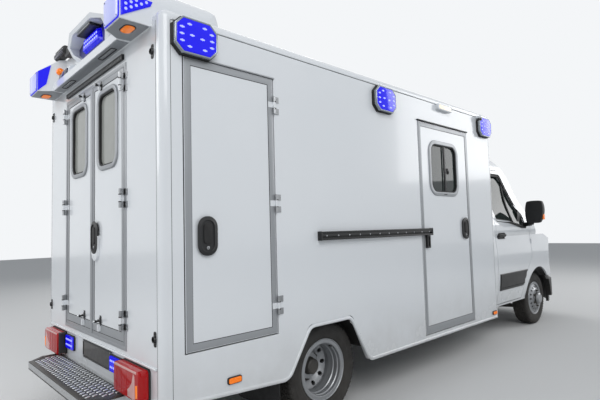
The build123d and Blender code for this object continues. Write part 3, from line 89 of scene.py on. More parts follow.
# Each row: colour, second colour that it drifts to, drift size in mm, roughness, and what the surface does.
# grain is the size of the fine bump in mm and depth its height in mm.
finishes = {
    # GRP sandwich panel in white gelcoat: flat, glossy, with a very faint long ripple from the mould
    "gelcoatWhite": dict(
        base="#E6E9EC", drift="#DFE3E7", driftSize=900, rough=0.16, coat=0.35, grain=260, depth=0.10, dust=0.55,
    ),
    # Baked two-layer car paint over steel: glossier than the gelcoat, with fine orange peel
    "bakedWhitePaint": dict(
        base="#E4E7EA", drift="#DDE1E5", driftSize=700, rough=0.20, coat=0.9, grain=7, depth=0.012, dust=0.55,
    ),
    # Anodised aluminium door frame, powder-grey: satin with faint long streaks
    "anodisedGrey": dict(base="#A2A5A8", drift="#989B9F", driftSize=300, rough=0.38, metal=0.35, grain=2.0, depth=0.01),
    # Black powder coat on the chassis rails: dull, pebbled, dusty
    "powderBlack": dict(base="#161719", drift="#1E1E1F", driftSize=160, rough=0.50, grain=1.6, depth=0.06, dust=0.35),
    # Grey iron as cast, sand-rough under a thin dark coat
    "castIron": dict(
        base="#3A3836", drift="#4A423B", driftSize=60, rough=0.72, metal=0.4, grain=1.2, depth=0.16, dust=0.9,
    ),
    # Die-cast aluminium, bead-blasted
    "castAlloy": dict(base="#9A9C9E", drift="#85878A", driftSize=70, rough=0.48, metal=1.0, grain=0.9, depth=0.05),
    # Injection-moulded ABS with a fine leather grain, as on handles and bumper mouldings
    "grainedAbs": dict(base="#131416", drift="#18191B", driftSize=220, rough=0.46, grain=1.1, depth=0.05, dust=0.12),
    # Satin grey ABS panel under the hood, its grey a painted shade of the hood's underside
    "paintedShadeGrey": dict(base="#8E9296", drift="#868A90", driftSize=240, rough=0.40, grain=1.2, depth=0.03),
    # Lining of the recess behind the lamp in the hood, painted deep blue: painted shade of the recess and painted blue
    # light from the lamp
    "shadeAndBlueLightLining": dict(base="#22217A", drift="#1B1A66", driftSize=160, rough=0.35, grain=1.2, depth=0.02),
    # Smoked dome of the small camera
    "privacyDome": dict(base="#0C0D0F", drift="#101114", driftSize=40, rough=0.06, coat=1.0),
    # Polypropylene dashboard moulding, grey, dull grain
    "grainedPolypropylene": dict(base="#2E2F32", drift="#343538", driftSize=200, rough=0.62, grain=1.3, depth=0.06),
    # Ferritic stainless pipe, browned by heat
    "heatedSteel": dict(base="#7A6F66", drift="#5E5550", driftSize=120, rough=0.42, metal=1.0, grain=1.5, depth=0.03),
    # Stainless hinge, satin ground
    "satinSteel": dict(base="#A9ABAD", drift="#9C9EA1", driftSize=40, rough=0.30, metal=1.0, grain=0.6, depth=0.008),
    # Woven polyester seat cloth
    "seatCloth": dict(base="#26272A", drift="#2E2F33", driftSize=90, rough=0.92, sheen=0.35, grain=2.4, depth=0.30),
    # Homogeneous vinyl floor with fine flecks
    "floorVinyl": dict(base="#AEB3B6", drift="#A4A9AD", driftSize=14, rough=0.45, grain=3.0, depth=0.03),
    # Steel wheel, silver stove enamel, with dust
    "wheelEnamel": dict(
        base="#9DA0A4", drift="#8C8F93", driftSize=120, rough=0.32, metal=0.60, coat=0.3, grain=1.2, depth=0.015, dust=0.25,
    ),
    # Tyre rubber, matt, with road dust
    "tyreRubber": dict(base="#0F0F11", drift="#151516", driftSize=70, rough=0.78, grain=1.4, depth=0.07, dust=0.18),
    # EPDM door seal, soft black
    "sealRubber": dict(base="#121213", drift="#181819", driftSize=60, rough=0.68, grain=0.8, depth=0.02),
    # Satin grey plated bezel of the side lamps
    "satinBezel": dict(base="#9EA4AA", drift="#8C9298", driftSize=60, rough=0.24, metal=0.7),
    # Bright chrome plate on the lamp bezels
    "chromePlate": dict(base="#D8DADC", drift="#D2D4D6", driftSize=60, rough=0.08, metal=1.0),
    # Silvered mirror glass, tinted dark grey-green as a painted reflection of an overcast yard
    "silveredGlass": dict(base="#66706D", drift="#5A6462", driftSize=90, rough=0.04, metal=1.0),
    # Tread bars worn bright by boots, painted lighter still as a highlight on their lit tops
    "wornAndLitTread": dict(base="#E4E6E8", drift="#D3D6D9", driftSize=60, rough=0.34, metal=0.55, grain=2.0, depth=0.006),
    # The same plate between the bars, painted darker as the shade in the gaps between them
    "paintedShadeTread": dict(base="#56575A", drift="#3F4042", driftSize=30, rough=0.55, metal=0.5, grain=1.0, depth=0.03),
    # Blank number plate: black enamel on pressed aluminium
    "plateBlack": dict(
        base="#141517", drift="#1B1C1F", driftSize=40, rough=0.35, coat=0.3, grain=3.0, depth=0.02, dust=0.4,
    ),
    # Polished aluminium tread plate, scuffed by boots
    "treadAluminium": dict(base="#C4C6C8", drift="#A9ABAD", driftSize=22, rough=0.30, metal=1.0, grain=0.8, depth=0.02),
}


def makeFinish(name, row):
    material = bpy.data.materials.new(name)
    material.use_nodes = True
    tree = material.node_tree
    shader = tree.nodes["Principled BSDF"]
    shader.inputs["Metallic"].default_value = row.get("metal", 0.0)
    shader.inputs["Coat Weight"].default_value = row.get("coat", 0.0)
    shader.inputs["Coat Roughness"].default_value = 0.05
    shader.inputs["Sheen Weight"].default_value = row.get("sheen", 0.0)
    if not row.get("metal"):
        shader.inputs["IOR"].default_value = 1.50
    place = addNode(tree, "ShaderNodeTexCoord").outputs["Object"]
    cloud = addNode(tree, "ShaderNodeTexNoise", {"Scale": 1000 / row["driftSize"], "Detail": 3.0}, {"Vector": place})
    tint = addNode(tree, "ShaderNodeMix", data_type="RGBA")
    tint.inputs[6].default_value = linear(row["base"])
    tint.inputs[7].default_value = linear(row["drift"])
    tree.links.new(cloud.outputs["Fac"], tint.inputs[0])
    colour = tint.outputs[2]
    roughness = addNode(
        tree, "ShaderNodeMapRange",
        {"From Min": 0.3, "From Max": 0.7, "To Min": row["rough"] * 0.88, "To Max": min(1.0, row["rough"] * 1.14)},
        {"Value": cloud.outputs["Fac"]},
    ).outputs["Result"]
    if row.get("dust"):
        # Road dust: thickest at the ground, gone by about 0.9 m up, broken up by a coarse cloud
        height = addNode(tree, "ShaderNodeSeparateXYZ", links={"Vector": place}).outputs["Z"]
        low = addNode(
            tree, "ShaderNodeMapRange", {"From Min": 0.15, "From Max": 0.95, "To Min": row["dust"], "To Max": 0.0},
            {"Value": height}, interpolation_type="SMOOTHSTEP",
        ).outputs["Result"]
        patch = addNode(
            tree, "ShaderNodeTexNoise", {"Scale": 5.0, "Detail": 6.0, "Roughness": 0.6}, {"Vector": place},
        ).outputs["Fac"]
        amount = addNode(tree, "ShaderNodeMath", links={0: low, 1: patch}, operation="MULTIPLY").outputs["Value"]
        film = addNode(tree, "ShaderNodeMix", data_type="RGBA")
        film.inputs[7].default_value = linear("#8E877C")
        tree.links.new(amount, film.inputs[0])
        tree.links.new(colour, film.inputs[6])
        colour = film.outputs[2]
        dull = addNode(tree, "ShaderNodeMath", {1: 0.5}, {0: amount}, operation="MULTIPLY").outputs["Value"]
        roughness = addNode(tree, "ShaderNodeMath", links={0: roughness, 1: dull}, operation="ADD").outputs["Value"]
    tree.links.new(colour, shader.inputs["Base Color"])
    tree.links.new(roughness, shader.inputs["Roughness"])
    if row.get("grain"):
        grain = addNode(
            tree, "ShaderNodeTexNoise", {"Scale": 1000 / row["grain"], "Detail": 2.0}, {"Vector": place},
        ).outputs["Fac"]
        bump = addNode(
            tree, "ShaderNodeBump", {"Strength": 1.0, "Distance": row["depth"] / 1000}, {"Height": grain}
        ).outputs["Normal"]
        tree.links.new(bump, shader.inputs["Normal"])
    return material


materials = {name: makeFinish(name, row) for name, row in finishes.items()}


# Clear and tinted parts: colour, how much light passes, roughness
clearFinishes = {
    # Laminated windscreen: nearly clear, faint green at the edges
    "laminatedGlass": dict(base="#DCE6E2", rough=0.02, alpha=0.30),
    # Toughened side glass: grey-green, dark against the lit cab
    "toughenedGlass": dict(base="#2A3331", rough=0.03, alpha=0.95, gloss=0.25),
    # Privacy glass: dark grey-green body tint
    "privacyGlass": dict(base="#333B3A", rough=0.03, alpha=0.93, gloss=0.30),
    # Rear door glass with a pale obscuring film
    "filmedGlass": dict(base="#A9ABA6", rough=0.10, alpha=0.90),
    # Moulded polycarbonate lamp covers
    "clearPolycarbonate": dict(base="#E8ECEF", rough=0.06, alpha=0.45),
    "bluePolycarbonate": dict(base="#0500D2", rough=0.08, alpha=1.0, glow=0.60, gloss=0.35),
    "amberPolycarbonate": dict(base="#F07A12", rough=0.12, alpha=1.0, glow=0.35),
    "lavenderPolycarbonate": dict(base="#AEB4EC", rough=0.10, alpha=1.0, glow=0.25),
    "navyPolycarbonate": dict(base="#10123A", rough=0.08, alpha=1.0),
    "ledLens": dict(base="#8C93FF", rough=0.10, alpha=1.0, glow=1.3),
    "creamLens": dict(base="#FFF3D8", rough=0.15, alpha=1.0, glow=0.45),
    "redPolycarbonate": dict(base="#A8080D", rough=0.09, alpha=1.0, glow=0.10, gloss=0.35),
    "pinkPolycarbonate": dict(base="#D9A8A4", rough=0.10, alpha=1.0),
}


def makeClear(name, row):
    material = bpy.data.materials.new(name)
    material.use_nodes = True
    tree = material.node_tree
    shader = tree.nodes["Principled BSDF"]
    place = addNode(tree, "ShaderNodeTexCoord").outputs["Object"]
    cloud = addNode(tree, "ShaderNodeTexNoise", {"Scale": 12.0, "Detail": 2.0}, {"Vector": place}).outputs["Fac"]
    tint = addNode(tree, "ShaderNodeMix", data_type="RGBA")
    tint.inputs[6].default_value = linear(row["base"])
    tint.inputs[7].default_value = tuple(c * 0.86 for c in linear(row["base"])[:3]) + (1.0,)
    tree.links.new(cloud, tint.inputs[0])
    tree.links.new(tint.outputs[2], shader.inputs["Base Color"])
    rough = addNode(
        tree, "ShaderNodeMapRange", {"To Min": row["rough"] * 0.8, "To Max": row["rough"] * 1.4}, {"Value": cloud}
    ).outputs["Result"]
    tree.links.new(rough, shader.inputs["Roughness"])
    shader.inputs["IOR"].default_value = 1.52
    shader.inputs["Alpha"].default_value = row["alpha"]
    shader.inputs["Specular IOR Level"].default_value = row.get("gloss", 0.5)
    if row.get("glow"):
        tree.links.new(tint.outputs[2], shader.inputs["Emission Color"])
        shader.inputs["Emission Strength"].default_value = row["glow"]
    return material


materials.update({name: makeClear(name, row) for name, row in clearFinishes.items()})
print("materials made")

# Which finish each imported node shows
nodeFinish = {
    "gelcoatWhite": (
        "box_wall_left", "box_wall_right", "box_rear_wall", "box_front_wall", "box_roof", "corner_posts", "rear_hood",
        "rear_valance", "sliding_door", "front_fairing", "rear_door_left", "rear_door_right", "locker_door_left",
        "locker_door_right",
    ),
    "bakedWhitePaint": ("cab_shell", "front_fenders", "cab_door_left", "cab_door_right", "bonnet"),
    "powderBlack": ("ladder_frame", "leaf_springs", "front_suspension"),
    "castIron": ("driveline", "knuckle_left", "knuckle_right"),
    "castAlloy": ("engine",),
    "grainedAbs": ("fuel_tank", "front_bumper", "grille", "mirror_left", "mirror_right", "slide_rail", "shoulder_lamp"),
    "grainedPolypropylene": ("dashboard", "steering_wheel"),
    "heatedSteel": ("exhaust",),
    "satinSteel": ("wall_hinges",),
    "seatCloth": ("cab_seats",),
    "floorVinyl": ("box_floor",),
    "treadAluminium": ("rear_step",),
    "laminatedGlass": ("windscreen",),
    "toughenedGlass": ("cab_glass_left", "cab_glass_right"),
    "filmedGlass": ("rear_window_left", "rear_window_right"),
    "privacyGlass": ("sliding_window",),
    "clearPolycarbonate": ("headlamps", "work_lights"),
    "bluePolycarbonate": ("blue_lamps",),
    "amberPolycarbonate": ("marker_lamps",),
    "redPolycarbonate": ("tail_lamps",),
    "tyreRubber": ("front_tyre_left", "front_tyre_right", "rear_tyres_left", "rear_tyres_right"),
    "wheelEnamel": ("front_rim_left", "front_rim_right", "rear_rims_left", "rear_rims_right"),
}
for finish, members in nodeFinish.items():
    for member in members:
        nodes[member].data.materials.clear()
        nodes[member].data.materials.append(materials[finish])
print("packed nodes dressed")


# Small tools that every piece below uses
def pickOnly(piece):
    if bpy.context.object and bpy.context.object.mode != "OBJECT":
        bpy.ops.object.mode_set(mode="OBJECT")
    bpy.ops.object.select_all(action="DESELECT")
    piece.select_set(True)
    bpy.context.view_layer.objects.active = piece


def pickFaces(piece, test):
    # Faces are picked by place or normal, then the piece is left in edit mode for the next operator
    pickOnly(piece)
    bpy.ops.object.mode_set(mode="EDIT")
    bpy.ops.mesh.select_mode(type="FACE")
    bpy.ops.mesh.select_all(action="DESELECT")
    bpy.ops.object.mode_set(mode="OBJECT")
    for face in piece.data.polygons:
        face.select = test(face)
    bpy.ops.object.mode_set(mode="EDIT")


def toObject():
    bpy.ops.object.mode_set(mode="OBJECT")


def settle(piece):
    pickOnly(piece)
    bpy.ops.object.transform_apply(location=True, rotation=True, scale=True)


def applied(piece, kind, **settings):
    # Adds one modifier with these settings and applies it
    pickOnly(piece)
    modifier = piece.modifiers.new("shape", kind)
    for key, value in settings.items():
        setattr(modifier, key, value)
    bpy.ops.object.modifier_apply(modifier=modifier.name)
    return piece


def softenEdges(piece, width, segments=2, angle=35):
    return applied(
        piece, "BEVEL", width=width, segments=segments, limit_method="ANGLE", angle_limit=math.radians(angle),
    )


def faceOutward(piece):
    pickFaces(piece, lambda face: True)
    bpy.ops.mesh.normals_make_consistent(inside=False)
    toObject()


def divided(piece, cuts):
    pickFaces(piece, lambda face: True)
    bpy.ops.mesh.subdivide(number_cuts=cuts)
    toObject()


def meshPiece(points, edges, faces):
    mesh = bpy.data.meshes.new("drawn")
    mesh.from_pydata(points, edges, faces)
    piece = bpy.data.objects.new("drawn", mesh)
    bpy.context.scene.collection.objects.link(piece)
    return piece


def onSide(part, x, y, z, sign):
    # Sets a part that was turned round the Y axis at the origin out on one side, its face outward
    for vertex in part.data.vertices:
        vertex.co = Vector((x + vertex.co.x, sign * (y + vertex.co.y), z + vertex.co.z))
    if sign < 0:
        part.data.flip_normals()
    return part


def dress(piece, name, finish, body="root", smooth=35):
    # The last step for every piece: place applied, smooth shading, name, finish, the body it rides on
    settle(piece)
    bpy.ops.object.shade_smooth_by_angle(angle=math.radians(smooth))
    piece.name = name
    piece.data.name = name
    piece.data.materials.clear()
    piece.data.materials.append(materials[finish])
    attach(piece, body)
    return piece


def block(low, high):
    size = [high[i] - low[i] for i in range(3)]
    middle = [(high[i] + low[i]) / 2 for i in range(3)]
    pickNothing()
    bpy.ops.mesh.primitive_cube_add(size=1, location=middle, scale=size)
    settle(bpy.context.object)
    return bpy.context.object


def pickNothing():
    if bpy.context.object and bpy.context.object.mode != "OBJECT":
        bpy.ops.object.mode_set(mode="OBJECT")
    bpy.ops.object.select_all(action="DESELECT")


def drum(middle, radius, depth, axis="z", vertices=24):
    turns = {"x": (0, math.pi / 2, 0), "y": (math.pi / 2, 0, 0), "z": (0, 0, 0)}
    pickNothing()
    bpy.ops.mesh.primitive_cylinder_add(
        vertices=vertices, radius=radius, depth=depth, location=middle, rotation=turns[axis],
    )
    settle(bpy.context.object)
    return bpy.context.object


def joined(parts):
    pickOnly(parts[0])
    for part in parts[1:]:
        part.select_set(True)
    bpy.ops.object.join()
    return bpy.context.object


def copyOf(piece, shift=(0, 0, 0), flipY=False):
    twin = piece.copy()
    twin.data = piece.data.copy()
    bpy.context.scene.collection.objects.link(twin)
    twin.parent = None
    for vertex in twin.data.vertices:
        vertex.co += Vector(shift)
        if flipY:
            vertex.co.y = -vertex.co.y
    if flipY:
        twin.data.flip_normals()
    return twin


# The six ways that a flat fitting can face: right wall, left wall, rear, front, roof, under
def facePlace(face, a, b, out):
    places = {
        "right": (a, -out, b), "left": (a, out, b), "rear": (-out, a, b),
        "front": (out, a, b), "roof": (a, b, out), "under": (a, b, -out),
    }
    return Vector(places[face])


def roundedOutline(middle, width, height, radius, steps=6):
    points = []
    for cornerX, cornerY, start in ((1, 1, 0), (-1, 1, 90), (-1, -1, 180), (1, -1, 270)):
        for step in range(steps + 1):
            angle = math.radians(start + 90 * step / steps)
            points.append((
                middle[0] + cornerX * (width / 2 - radius) + radius * math.cos(angle),
                middle[1] + cornerY * (height / 2 - radius) + radius * math.sin(angle),
            ))
    return points


def plate(face, outlines, low, high, edge=0.0, segments=2):
    # A flat plate, cut by any inner outlines, standing from low to high along the face's outward direction
    line = bpy.data.curves.new("outline", "CURVE")
    line.dimensions = "2D"
    line.fill_mode = "BOTH"
    for outline in outlines:
        spline = line.splines.new("POLY")
        spline.points.add(len(outline) - 1)
        for point, (a, b) in zip(spline.points, outline):
            point.co = (a, b, 0, 1)
        spline.use_cyclic_u = True
    line.extrude = (high - low) / 2 - edge
    line.bevel_depth = edge
    line.bevel_resolution = segments - 1
    line.offset = -edge
    drawn = bpy.data.objects.new("outline", line)
    bpy.context.scene.collection.objects.link(drawn)
    pickOnly(drawn)
    bpy.ops.object.convert(target="MESH")
    piece = bpy.context.object
    for vertex in piece.data.vertices:
        vertex.co = facePlace(face, vertex.co.x, vertex.co.y, (low + high) / 2 + vertex.co.z)
    pickFaces(piece, lambda face: True)
    bpy.ops.mesh.remove_doubles(threshold=0.00002)
    bpy.ops.mesh.normals_make_consistent(inside=False)
    toObject()
    return piece


axes = {"x": Vector((1, 0, 0)), "y": Vector((0, 1, 0)), "z": Vector((0, 0, 1))}


def turned(profile, middle, axis, steps=48):
    # A turned part: profile points are (distance along the axis, radius), spun round the axis
    across, along = (axes["x"] if axis == "z" else axes["z"]), axes[axis]
    points = [Vector(middle) + along * distance + across * radius for distance, radius in profile]
    piece = meshPiece(points, [(i, i + 1) for i in range(len(points) - 1)], [])
    pickOnly(piece)
    bpy.ops.object.mode_set(mode="EDIT")
    bpy.ops.mesh.select_all(action="SELECT")
    bpy.ops.mesh.spin(steps=steps, angle=2 * math.pi, center=middle, axis=along)
    bpy.ops.mesh.select_all(action="SELECT")
    bpy.ops.mesh.remove_doubles(threshold=0.00005)
    bpy.ops.mesh.normals_make_consistent(inside=False)
    toObject()
    return piece


def boltHead(middle, axis, out, radius=0.006, height=0.004):
    # Low hexagon head with a chamfered top, its washer face on the plate
    start, along = Vector(middle), axes[axis] * out
    washer = drum(start + along * 0.0008, radius * 1.35, 0.0016, axis, 16)
    head = drum(start + along * (0.0016 + height / 2), radius, height, axis, 6)
    softenEdges(head, radius * 0.12, 1)
    return joined([washer, head])


def boxOutline(a0, a1, b0, b1):
    return [(a0, b0), (a1, b0), (a1, b1), (a0, b1)]


# The side walls with the sign of Y, and the same sides as they stand in the names of pieces
walls = (("right", -1), ("left", 1))
bothSides = ((1, "Left"), (-1, "Right"))
# Outer faces of the box: half its width, and how far back the rear wall stands
wallY = 1.0675
rearOut = 3.190

# Side doors: outer edges of the grey frame on the leaf, in metres along X and Z
leafFrames = {
    "locker": dict(x=(-3.046, -2.384), z=(0.720, 2.408), band=0.040, foot=0.040, proud=0.0035),
    "slide": dict(x=(-0.591, 0.356), z=(0.394, 2.385), band=0.038, foot=0.066, proud=0.0035),
}
leafGrip = dict(width=0.112, height=0.207, proud=0.019)
slideGrip = dict(width=0.118, height=0.202, proud=0.019)


def framedLeaf(wall, row, name, body):
    # Aluminium edging round a sandwich-panel leaf, with a dark seal line inside it
    (x0, x1), (z0, z1) = row["x"], row["z"]
    band, foot, line = row["band"], row["foot"], 0.003
    inner = boxOutline(x0 + band, x1 - band, z0 + foot, z1 - band)
    within = boxOutline(x0 + band + line, x1 - band - line, z0 + foot + line, z1 - band - line)
    edging = plate(wall, [boxOutline(x0, x1, z0, z1), inner], wallY - 0.001, wallY + row["proud"], 0.0012)
    dress(edging, name + "Edging", "anodisedGrey", body)
    seal = plate(wall, [inner, within], wallY - 0.001, wallY + 0.0014, 0.0004, 1)
    dress(seal, name + "InnerSeal", "sealRubber", body)


def gapSeal(wall, x, z, gap, name, depth=0.012):
    # Bulb seal in the gap between a leaf and its wall, standing back from the face
    outlines = [boxOutline(x[0] - side, x[1] + side, z[0] - side, z[1] + side) for side in (gap, 0.001)]
    seal = plate(wall, outlines, wallY - depth, wallY - 0.004, 0.0005, 1)
    return dress(seal, name, "sealRubber", "root")


def pullGrip(wall, a, b, out, name, body, width, height, proud):
    # Black flush pull: an oval bowl with a raised rim, a hinged paddle across it and a lock barrel
    rim = plate(wall, [roundedOutline((a, b), width, height, width * 0.46, 10)], out - 0.001, out + proud, 0.005, 3)
    pickFaces(rim, lambda face: (rim.data.vertices[face.vertices[0]].co - facePlace(wall, a, b, out + proud)).dot(
        facePlace(wall, 0, 0, 1)) > -0.0002 and face.normal.dot(facePlace(wall, 0, 0, 1)) > 0.9)
    bpy.ops.mesh.inset(thickness=width * 0.10, depth=0)
    bpy.ops.mesh.inset(thickness=0.002, depth=-0.0022)
    toObject()
    paddle = plate(wall, [roundedOutline((a, b + height * 0.06), width * 0.50, height * 0.58, width * 0.2, 8)],
                   out + proud - 0.003, out + proud + 0.0035, 0.0022, 3)
    barrel = plate(
        wall, [roundedOutline((a, b - height * 0.335), 0.020, 0.020, 0.0098, 6)], out + proud - 0.003,
        out + proud + 0.0015, 0.0008, 2,
    )
    lockZ = b - height * 0.335
    slit = plate(
        wall, [boxOutline(a - 0.0012, a + 0.0012, lockZ - 0.005, lockZ + 0.005)], out + proud + 0.001,
        out + proud + 0.0018,
    )
    dress(rim, name, "grainedAbs", body)
    dress(paddle, name + "Paddle", "sealRubber", body)
    dress(barrel, name + "Lock", "satinSteel", body)
    dress(slit, name + "Keyway", "sealRubber", body)


def makeSideDoor(wall, row, name, body, grip, gripSize, drip, dripProud, dripFinish):
    framedLeaf(wall, row, name, body)
    gapSeal(wall, row["x"], row["z"], 0.007, name + "GapSeal")
    pullGrip(wall, *grip, wallY, name + "Grip", body, **gripSize)
    # Rain rail over the door
    rail = plate(wall, [boxOutline(*drip)], wallY - 0.001, wallY + dripProud, 0.002)
    dress(rail, name + "DripRail", dripFinish)


for wall, sign in walls:
    makeSideDoor(
        wall, leafFrames["locker"], "locker" + wall.title(), "locker_leaf_" + wall, (-2.910, 1.366), leafGrip,
        (-3.062, -2.368, 2.4150, 2.4230), 0.012, "anodisedGrey",
    )
makeSideDoor(
    "right", leafFrames["slide"], "slideDoor", "root", (0.230, 1.357), slideGrip, (-0.61, 0.374, 2.394, 2.405), 0.014,
    "grainedAbs",
)

# The sliding door's window: aluminium frame, rubber lip, two panes with a dark stile and a small latch
slideWindow = dict(middle=(-0.144, 1.960), width=0.500, height=0.484, corner=0.090, band=0.032)


def makeSlideWindow(row):
    middle, width, height, corner, band = (row[k] for k in ("middle", "width", "height", "corner", "band"))
    ring = plate("right", [
        roundedOutline(middle, width + 2 * band, height + 2 * band, corner + band, 10),
        roundedOutline(middle, width - 0.012, height - 0.012, corner - 0.006, 10),
    ], wallY - 0.001, wallY + 0.010, 0.004, 3)
    dress(ring, "slideWindowFrame", "anodisedGrey")
    lip = plate("right", [
        roundedOutline(middle, width - 0.010, height - 0.010, corner - 0.005, 10),
        roundedOutline(middle, width - 0.034, height - 0.034, corner - 0.017, 10),
    ], wallY - 0.010, wallY + 0.004, 0.002, 2)
    dress(lip, "slideWindowLip", "sealRubber")
    a = middle[0] + 0.02
    half = height / 2 - 0.018
    stile = plate(
        "right", [boxOutline(a - 0.014, a + 0.014, middle[1] - half, middle[1] + half)], wallY - 0.012, wallY + 0.003,
        0.002,
    )
    dress(stile, "slideWindowStile", "grainedAbs")
    latch = plate(
        "right", [roundedOutline((a + 0.048, middle[1] - 0.02), 0.030, 0.062, 0.009, 5)], wallY - 0.004, wallY + 0.010,
        0.003,
    )
    tab = plate(
        "right", [roundedOutline((a + 0.048, middle[1] - 0.03), 0.016, 0.026, 0.005, 4)], wallY + 0.008, wallY + 0.018,
        0.003,
    )
    dress(joined([latch, tab]), "slideWindowLatch", "grainedAbs")
    drain = plate("right", [roundedOutline((middle[0], middle[1] - height / 2 - band / 2), 0.06, 0.008, 0.0035, 4)],
                  wallY + 0.008, wallY + 0.0108, 0.0008, 1)
    dress(drain, "slideWindowDrain", "sealRubber")


makeSlideWindow(slideWindow)

# Guide rail of the sliding door: black extrusion with a slot and screws along it
guideRail = dict(x=(-1.981, -0.465), z=1.338, height=0.060, proud=0.034, screws=12)


def makeGuideRail(row):
    x0, x1 = row["x"]
    z, half, proud = row["z"], row["height"] / 2, row["proud"]
    lipTop = plate("right", [boxOutline(x0, x1, z + half - 0.012, z + half + 0.002)],
                   wallY + proud - 0.006, wallY + proud + 0.005, 0.0025)
    lipLow = copyOf(lipTop, (0, 0, -2 * half + 0.010))
    caps = [
        plate(
            "right", [roundedOutline((x, z), 0.012, 2 * half + 0.008, 0.004, 4)], wallY - 0.001, wallY + proud + 0.006,
            0.003,
        )
        for x in (x0 + 0.004, x1 - 0.004)
    ]
    dress(joined([lipTop, lipLow] + caps), "guideRailLips", "grainedAbs")
    screws = []
    for number in range(row["screws"]):
        x = x0 + 0.06 + number * (x1 - x0 - 0.12) / (row["screws"] - 1)
        screw = turned(
            [(0, 0.0001), (-0.0001, 0.0062), (0.0016, 0.0058), (0.0026, 0.0036), (0.0028, 0.0001)], (0, 0, 0), "y", 14,
        )
        screws.append(onSide(screw, x, wallY + proud, z, -1))
    dress(joined(screws), "guideRailScrews", "satinSteel")


makeGuideRail(guideRail)
print("side doors and rail made")

# Rear wall: aluminium surround with two leaves in it, each leaf edged in the same grey profile
rearFrame = dict(half=0.598, foot=0.676, head=2.482, band=0.026)
rearLeaf = dict(low=0.006, high=0.561, foot=0.702, head=2.456, band=0.034, footBand=0.078)


def makeRearFrame(row):
    half, foot, head, band = row["half"], row["foot"], row["head"], row["band"]
    ring = plate("rear", [
        boxOutline(-half, half, foot, head), boxOutline(-half + band, half - band, foot + band, head - band),
    ], rearOut - 0.001, rearOut + 0.005, 0.002)
    dress(ring, "rearDoorSurround", "anodisedGrey")
    ledge = plate("rear", [boxOutline(-1.000, 1.000, 0.640, 0.652)], rearOut - 0.001, rearOut + 0.013, 0.004, 3)
    dress(ledge, "rearWallLedge", "gelcoatWhite")


makeRearFrame(rearFrame)

for sign, side in ((1, "left"), (-1, "right")):
    body = "rear_leaf_" + side
    name = "rearLeaf" + side.title()
    row = rearLeaf
    low, high = (row["low"], row["high"]) if sign > 0 else (-row["high"], -row["low"])
    band, footBand = row["band"], row["footBand"]
    inner = boxOutline(low + band, high - band, row["foot"] + footBand, row["head"] - band)
    edging = plate(
        "rear", [boxOutline(low, high, row["foot"], row["head"]), inner], rearOut - 0.001, rearOut + 0.0035, 0.0012,
    )
    dress(edging, name + "Edging", "anodisedGrey", body)
    thin = 0.004
    within = boxOutline(low + band + thin, high - band - thin, row["foot"] + footBand + thin, row["head"] - band - thin)
    dress(
        plate("rear", [inner, within], rearOut - 0.001, rearOut + 0.0014, 0.0004, 1), name + "InnerSeal", "sealRubber",
        body,
    )
    groove = boxOutline(low + 0.004, high - 0.004, row["foot"] + 0.022, row["foot"] + 0.0255)
    dress(
        plate("rear", [groove], rearOut + 0.002, rearOut + 0.0040, 0.0002, 1), name + "FootGroove", "sealRubber", body,
    )
    middle = (sign * 0.285, 2.112)
    ring = plate(
        "rear", [roundedOutline(middle, 0.366, 0.562, 0.096, 10), roundedOutline(middle, 0.306, 0.502, 0.066, 10)],
        rearOut - 0.002, rearOut + 0.012, 0.005, 3,
    )
    dress(ring, name + "WindowFrame", "anodisedGrey", body)
    lip = plate(
        "rear", [roundedOutline(middle, 0.308, 0.504, 0.067, 10), roundedOutline(middle, 0.286, 0.482, 0.056, 10)],
        rearOut - 0.012, rearOut + 0.004, 0.002, 2,
    )
    dress(lip, name + "WindowLip", "sealRubber", body)
meeting = plate("rear", [boxOutline(-0.013, 0.013, 0.704, 2.454)], rearOut - 0.001, rearOut + 0.009, 0.003, 3)
dress(meeting, "rearLeafMeetingStrip", "anodisedGrey", "rear_leaf_right")
pullGrip("rear", -0.074, 1.372, rearOut, "rearGrip", "rear_leaf_right", 0.110, 0.205, 0.019)
print("rear doors made")

# Hold-open catches: a black striker on the wall and its sprung partner on the leaf
catchRows = (
    # name, y, z, body, True for the leaf's half
    ("WallLeftTop", 0.970, 2.433, "root", False), ("WallRightTop", -0.970, 2.433, "root", False),
    ("WallLeftLow", 0.982, 0.806, "root", False), ("WallRightLow", -0.982, 0.806, "root", False),
    ("LeafLeftTop", 0.172, 2.433, "rear_leaf_left", True), ("LeafRightTop", -0.172, 2.433, "rear_leaf_right", True),
    ("LeafLeftLow", 0.160, 0.806, "rear_leaf_left", True), ("LeafRightLow", -0.160, 0.806, "rear_leaf_right", True),
)


